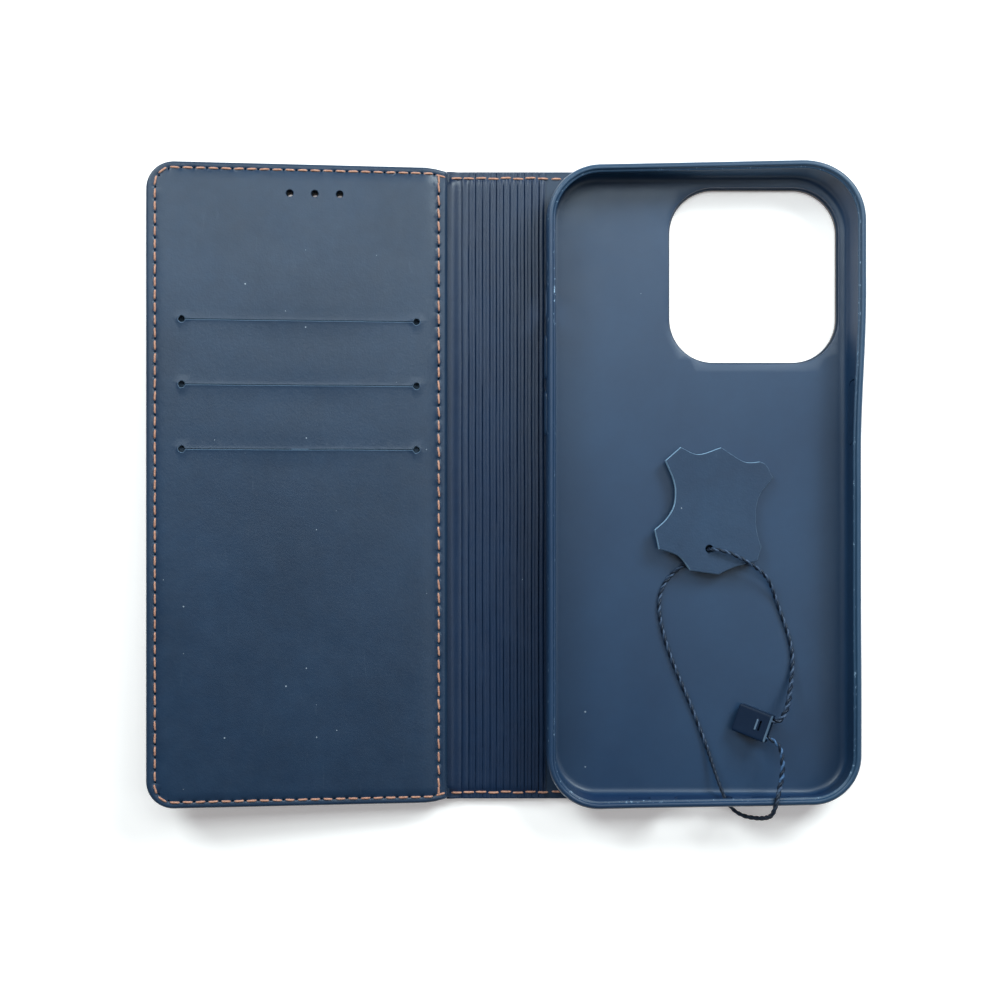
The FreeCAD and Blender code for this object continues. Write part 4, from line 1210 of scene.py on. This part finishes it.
grid = [(x, y) for x in (0.7, 0.86, 0.94, 1.03, 1.22, 1.31, 1.39, 1.55) for y in np.linspace(-1.5, 1.5, 17)] + [(3.85, y) for y in np.linspace(-2.9, 2.9, 15)]
rings = [(sring(0.28), None), (sring(0.12), lambda x, y: seal_face(x, y) - 0.06), (sring(0.02), lambda x, y: seal_face(x, y) - 0.2), (sring(0.0), 0.2),
         (sring(0.0), -1.1), (sring(0.06), -1.4), (sring(0.22), -1.5), (sring(0.5), None)]
plate(b, rings, [], seal_face, lambda x, y: -1.5, 0.9, 1.6, extra=grid)
# the chamfer at the cord end and the top of the bar beside the slot take the pale material, a painted highlight on
# their edges
for i_, f_ in enumerate(b.f):
    c_ = np.mean([b.v[k] for k in f_], axis=0)
    if c_[0] > 3.88 and c_[2] > 0.95 or (c_[2] > 1.56 and abs(c_[0] - 1.125) < 0.25):
        b.m[i_] = 1
housing = make_obj("seal_housing_moulded", b.v, b.f, [SEAL_V, SEAL_PAINTED_HIGHLIGHT], b.m, sharp=35)


def peg(x0, x1, y, z, r, n=20):
    pb = Build()
    ra = pb.add([(x0, y + r * math.cos(2 * math.pi * i / n), z + r * math.sin(2 * math.pi * i / n)) for i in range(n)])
    rb_ = pb.add([(x1, y + r * math.cos(2 * math.pi * i / n), z + r * math.sin(2 * math.pi * i / n)) for i in range(n)])
    pb.fan(ra)
    pb.bridge(ra, rb_)
    pb.fan(rb_)
    return make_obj("peg", pb.v, pb.f, SEAL_V, smooth=False)


def slotcut():
    pb = Build()
    ring = rring(1.72, -1.3, 2.22, 1.3, 0.24, 0, nc=5, step=4)
    ra = pb.add([(x, y, 2.2) for x, y in ring])
    rb_ = pb.add([(x, y, 0.5) for x, y in ring])
    pb.fan(ra)
    pb.bridge(ra, rb_)
    pb.fan(rb_)
    return make_obj("peg", pb.v, pb.f, SEAL_V, smooth=False)


cuts = [peg(4.25 - 1.9, 5.5, HOLE_OFF, 0, 0.78), peg(4.25 - 1.9, 5.5, -HOLE_OFF + 0.1, 0, 0.78), slotcut()]
for c in cuts:
    md = housing.modifiers.new("cut", "BOOLEAN")
    md.operation = "DIFFERENCE"
    md.solver = "EXACT"
    md.object = c
dg = bpy.context.evaluated_depsgraph_get()
dg.update()
me = bpy.data.meshes.new_from_object(housing.evaluated_get(dg))
housing.modifiers.clear()
housing.data = me
for c in cuts:
    bpy.data.objects.remove(c)
me.shade_smooth()
me.set_sharp_from_angle(angle=math.radians(30))
at = me.attributes.get("rest_mm")
if at is not None:
    me.attributes.remove(at)
at = me.attributes.new("rest_mm", "FLOAT_VECTOR", "POINT")
co = np.array([v.co for v in me.vertices], float) * 1000
at.data.foreach_set("vector", co.astype(np.float32).ravel())
me.vertices.foreach_set("co", (np.array([tuple(seal_pt(x, y, z)) for x, y, z in co]) * K).astype(np.float32).ravel())
me.update()
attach(housing, "tray")
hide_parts("seal_housing")

ROUTE = [tuple(seal_pt(SEAL_L / 2 - HOLE_DEEP, HOLE_OFF)), tuple(seal_pt(SEAL_L / 2 + 0.9, HOLE_OFF)),
         (19.3, -55.3, 8.35), (20.8, -52.2, 7.1), (21.7, -48.6, 5.1), (22.4, -44.9, 3.6), (22.6, -41.0, 3.15), (21.7, -36.6, 3.15),
         (20.1, -32.0, 3.15), (18.5, -27.6, 3.25), (17.1, -24.0, 4.4), (15.2, -21.3, 5.6), (12.3, -19.2, 6.5), (8.7, -17.1, 7.0),
         (5.4, -15.75, 7.15), (2.06, -15.28, 7.0), (1.87, -15.44, 3.3), (-1.3, -17.6, 3.15), (-5.0, -20.1, 3.15), (-7.9, -22.7, 3.15),
         (-9.6, -26.2, 3.15), (-9.9, -30.4, 3.15), (-8.9, -35.6, 3.15), (-7.2, -41.0, 3.15), (-5.0, -46.6, 3.15), (-2.6, -52.0, 3.15),
         (-0.4, -57.6, 3.15), (1.7, -63.2, 3.4), (3.3, -68.4, 4.4), (4.7, -72.6, 5.35), (6.0, -75.9, 5.6), (7.9, -78.35, 5.2),
         (10.3, -79.65, 5.4), (12.9, -79.75, 7.0), (14.8, -79.2, 9.3), (15.8, -78.1, 11.6), (16.35, -76.2, 12.55), (17.0, -73.7, 12.5),
         (17.9, -70.9, 11.3), (18.85, -67.6, 9.9), (18.8, -64.0, 8.6), (18.2, -62.0, 8.85),
         tuple(seal_pt(SEAL_L / 2 + 0.8, -HOLE_OFF + 0.1)), tuple(seal_pt(SEAL_L / 2 - 1.8, -HOLE_OFF + 0.1))]
cu = bpy.data.curves.new("route", "CURVE")
cu.dimensions = "3D"
sp = cu.splines.new("NURBS")
sp.points.add(len(ROUTE) - 1)
for p, q in zip(sp.points, ROUTE):
    p.co = (q[0] * K, q[1] * K, q[2] * K, 1.0)
sp.order_u = 3
sp.use_endpoint_u = True
sp.resolution_u = 8
co_ = bpy.data.objects.new("route", cu)
SC.collection.objects.link(co_)
dg = bpy.context.evaluated_depsgraph_get()
dg.update()
rm = bpy.data.meshes.new_from_object(co_.evaluated_get(dg))
path = np.array([v.co for v in rm.vertices], float)
bpy.data.objects.remove(co_)


def twist_cord(name, path_m, strands, helix_r, strand_r, pitch, sides=8, sub=3):
    """plies laid round a path; path in metres, the rest in mm"""
    pm = path_m * 1000.0
    seg = np.linalg.norm(np.diff(pm, axis=0), axis=1)
    s = np.concatenate([[0], np.cumsum(seg)])
    n = int(s[-1] / 0.22)
    t = np.linspace(0, s[-1], n)
    c = np.stack([np.interp(t, s, pm[:, k]) for k in range(3)], 1)
    for _ in range(2):
        c[1:-1] = (c[:-2] + 2 * c[1:-1] + c[2:]) / 4
    tan = np.gradient(c, axis=0)
    tan /= np.linalg.norm(tan, axis=1)[:, None]
    nrm = np.zeros_like(c)
    v = np.cross(tan[0], [0, 0, 1.0])
    v /= np.linalg.norm(v)
    for i in range(n):
        v = v - tan[i] * (v @ tan[i])
        v /= np.linalg.norm(v)
        nrm[i] = v
    bi = np.cross(tan, nrm)
    b = Build()
    rest = []
    # each ply takes material k; the second ply's material is the painted lighter copy
    for k in range(strands):
        prev = None
        for i in range(n):
            ph = 2 * math.pi * (t[i] / pitch + k / strands)
            wob = 1 + 0.10 * noise.noise(Vector((t[i] * 0.35, k * 3.0, 0)))
            off = nrm[i] * math.cos(ph) + bi[i] * math.sin(ph)
            perp = np.cross(tan[i], off)
            fat = 1 + 0.32 * smooth01((t[i] - 126) / 10) * (1 - 0.6 * smooth01((t[i] - 150) / 8)) + 0.42 * (1 - smooth01((t[i] - 3) / 22)) * smooth01((t[i] - 0.8) / 1.5)
            flat = smooth01((t[i] - 114) / 5) * (1 - smooth01((t[i] - 145) / 6))
            cc = c[i] + off * helix_r * wob * fat * (1 - 0.5 * flat)
            ring = []
            for q in range(sides):
                f = 2 * math.pi * q / sides
                ring.append(cc + (off * math.cos(f) + perp * math.sin(f)) * strand_r * fat * (1 + 0.16 * flat))
                rest.append((t[i], 4.0 * k + f * strand_r, 0.0))
            ids = b.add(ring)
            if prev is not None:
                n0 = len(b.f)
                # material 2 is a painted sheen on the second ply near the seal
                b.bridge(prev, ids, 2 if k == 1 and 150 < t[i] < 162.5 else (3 if 114 < t[i] < 146 else k))
            else:
                b.fan(ids, k)
            prev = ids
        b.fan(prev, k)
    return b, np.array(rest)


cb, crest = twist_cord("tag_cord_twist", path, 2, 0.21, 0.29, 3.0)
cord = make_obj("tag_cord_twisted", cb.v, cb.f, [CORD_A, CORD_LIT_PLY, CORD_PAINTED_SHEEN, CORD_D], cb.m, crest, sharp=70)
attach(cord, "tray")
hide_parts("tag_cord")
length = float(np.sum(np.linalg.norm(np.diff(path, axis=0), axis=1)))
print("cord length", length)

# ---------------------------------------------------------------- floor, light
fm = NT("floor")
fm.bsdf.inputs["Base Color"].default_value = (0.95, 0.90, 0.885, 1)
fm.bsdf.inputs["Emission Color"].default_value = (1.0, 0.93, 0.92, 1)
fm.bsdf.inputs["Emission Strength"].default_value = 0.24
fm.bsdf.inputs["Roughness"].default_value = 0.9
fb = [(-3, -3, -0.0003), (3, -3, -0.0003), (3, 3, -0.0003), (-3, 3, -0.0003)]
me = bpy.data.meshes.new("floor")
me.from_pydata(fb, [], [(0, 1, 2, 3)])
me.materials.append(fm.mat)
floor = bpy.data.objects.new("floor", me)
SC.collection.objects.link(floor)


def area_light(name, loc, target, size, power, color=(1, 1, 1), size_y=None):
    d = bpy.data.lights.new(name, "AREA")
    d.shape = "RECTANGLE" if size_y else "SQUARE"
    d.size = size
    if size_y:
        d.size_y = size_y
    d.energy = power
    d.color = color
    o = bpy.data.objects.new(name, d)
    SC.collection.objects.link(o)
    o.location = loc
    o.rotation_mode = "QUATERNION"
    o.rotation_quaternion = (Vector(target) - Vector(loc)).to_track_quat("-Z", "Y")
    return o


TINT = (0.86, 0.98, 1.0)
area_light("top_right", (0.32, 0.38, 0.38), (0.0, 0, 0), 0.25, 4.4, TINT, 0.25)
area_light("top_left", (-0.40, 0.38, 0.38), (-0.06, 0, 0), 0.25, 2.8, TINT, 0.25)
area_light("above_top", (-0.05, 0.16, 0.42), (-0.05, 0.05, 0), 0.45, 1.0, TINT, 0.12)
area_light("above", (-0.05, 0.1, 0.8), (-0.05, 0, 0), 0.4, 0.2, TINT, 0.4)
area_light("right", (0.18, -0.08, 0.36), (0.04, -0.04, 0), 0.07, 0.22, TINT, 0.36)
w = bpy.data.worlds.new("world")
SC.world = w
w.use_nodes = True
w.node_tree.nodes["Background"].inputs[0].default_value = (0.9, 0.94, 1.0, 1)
w.node_tree.nodes["Background"].inputs[1].default_value = 0.10
SC.view_settings.view_transform = "Standard"
SC.view_settings.look = "None"
SC.view_settings.exposure = 0.0
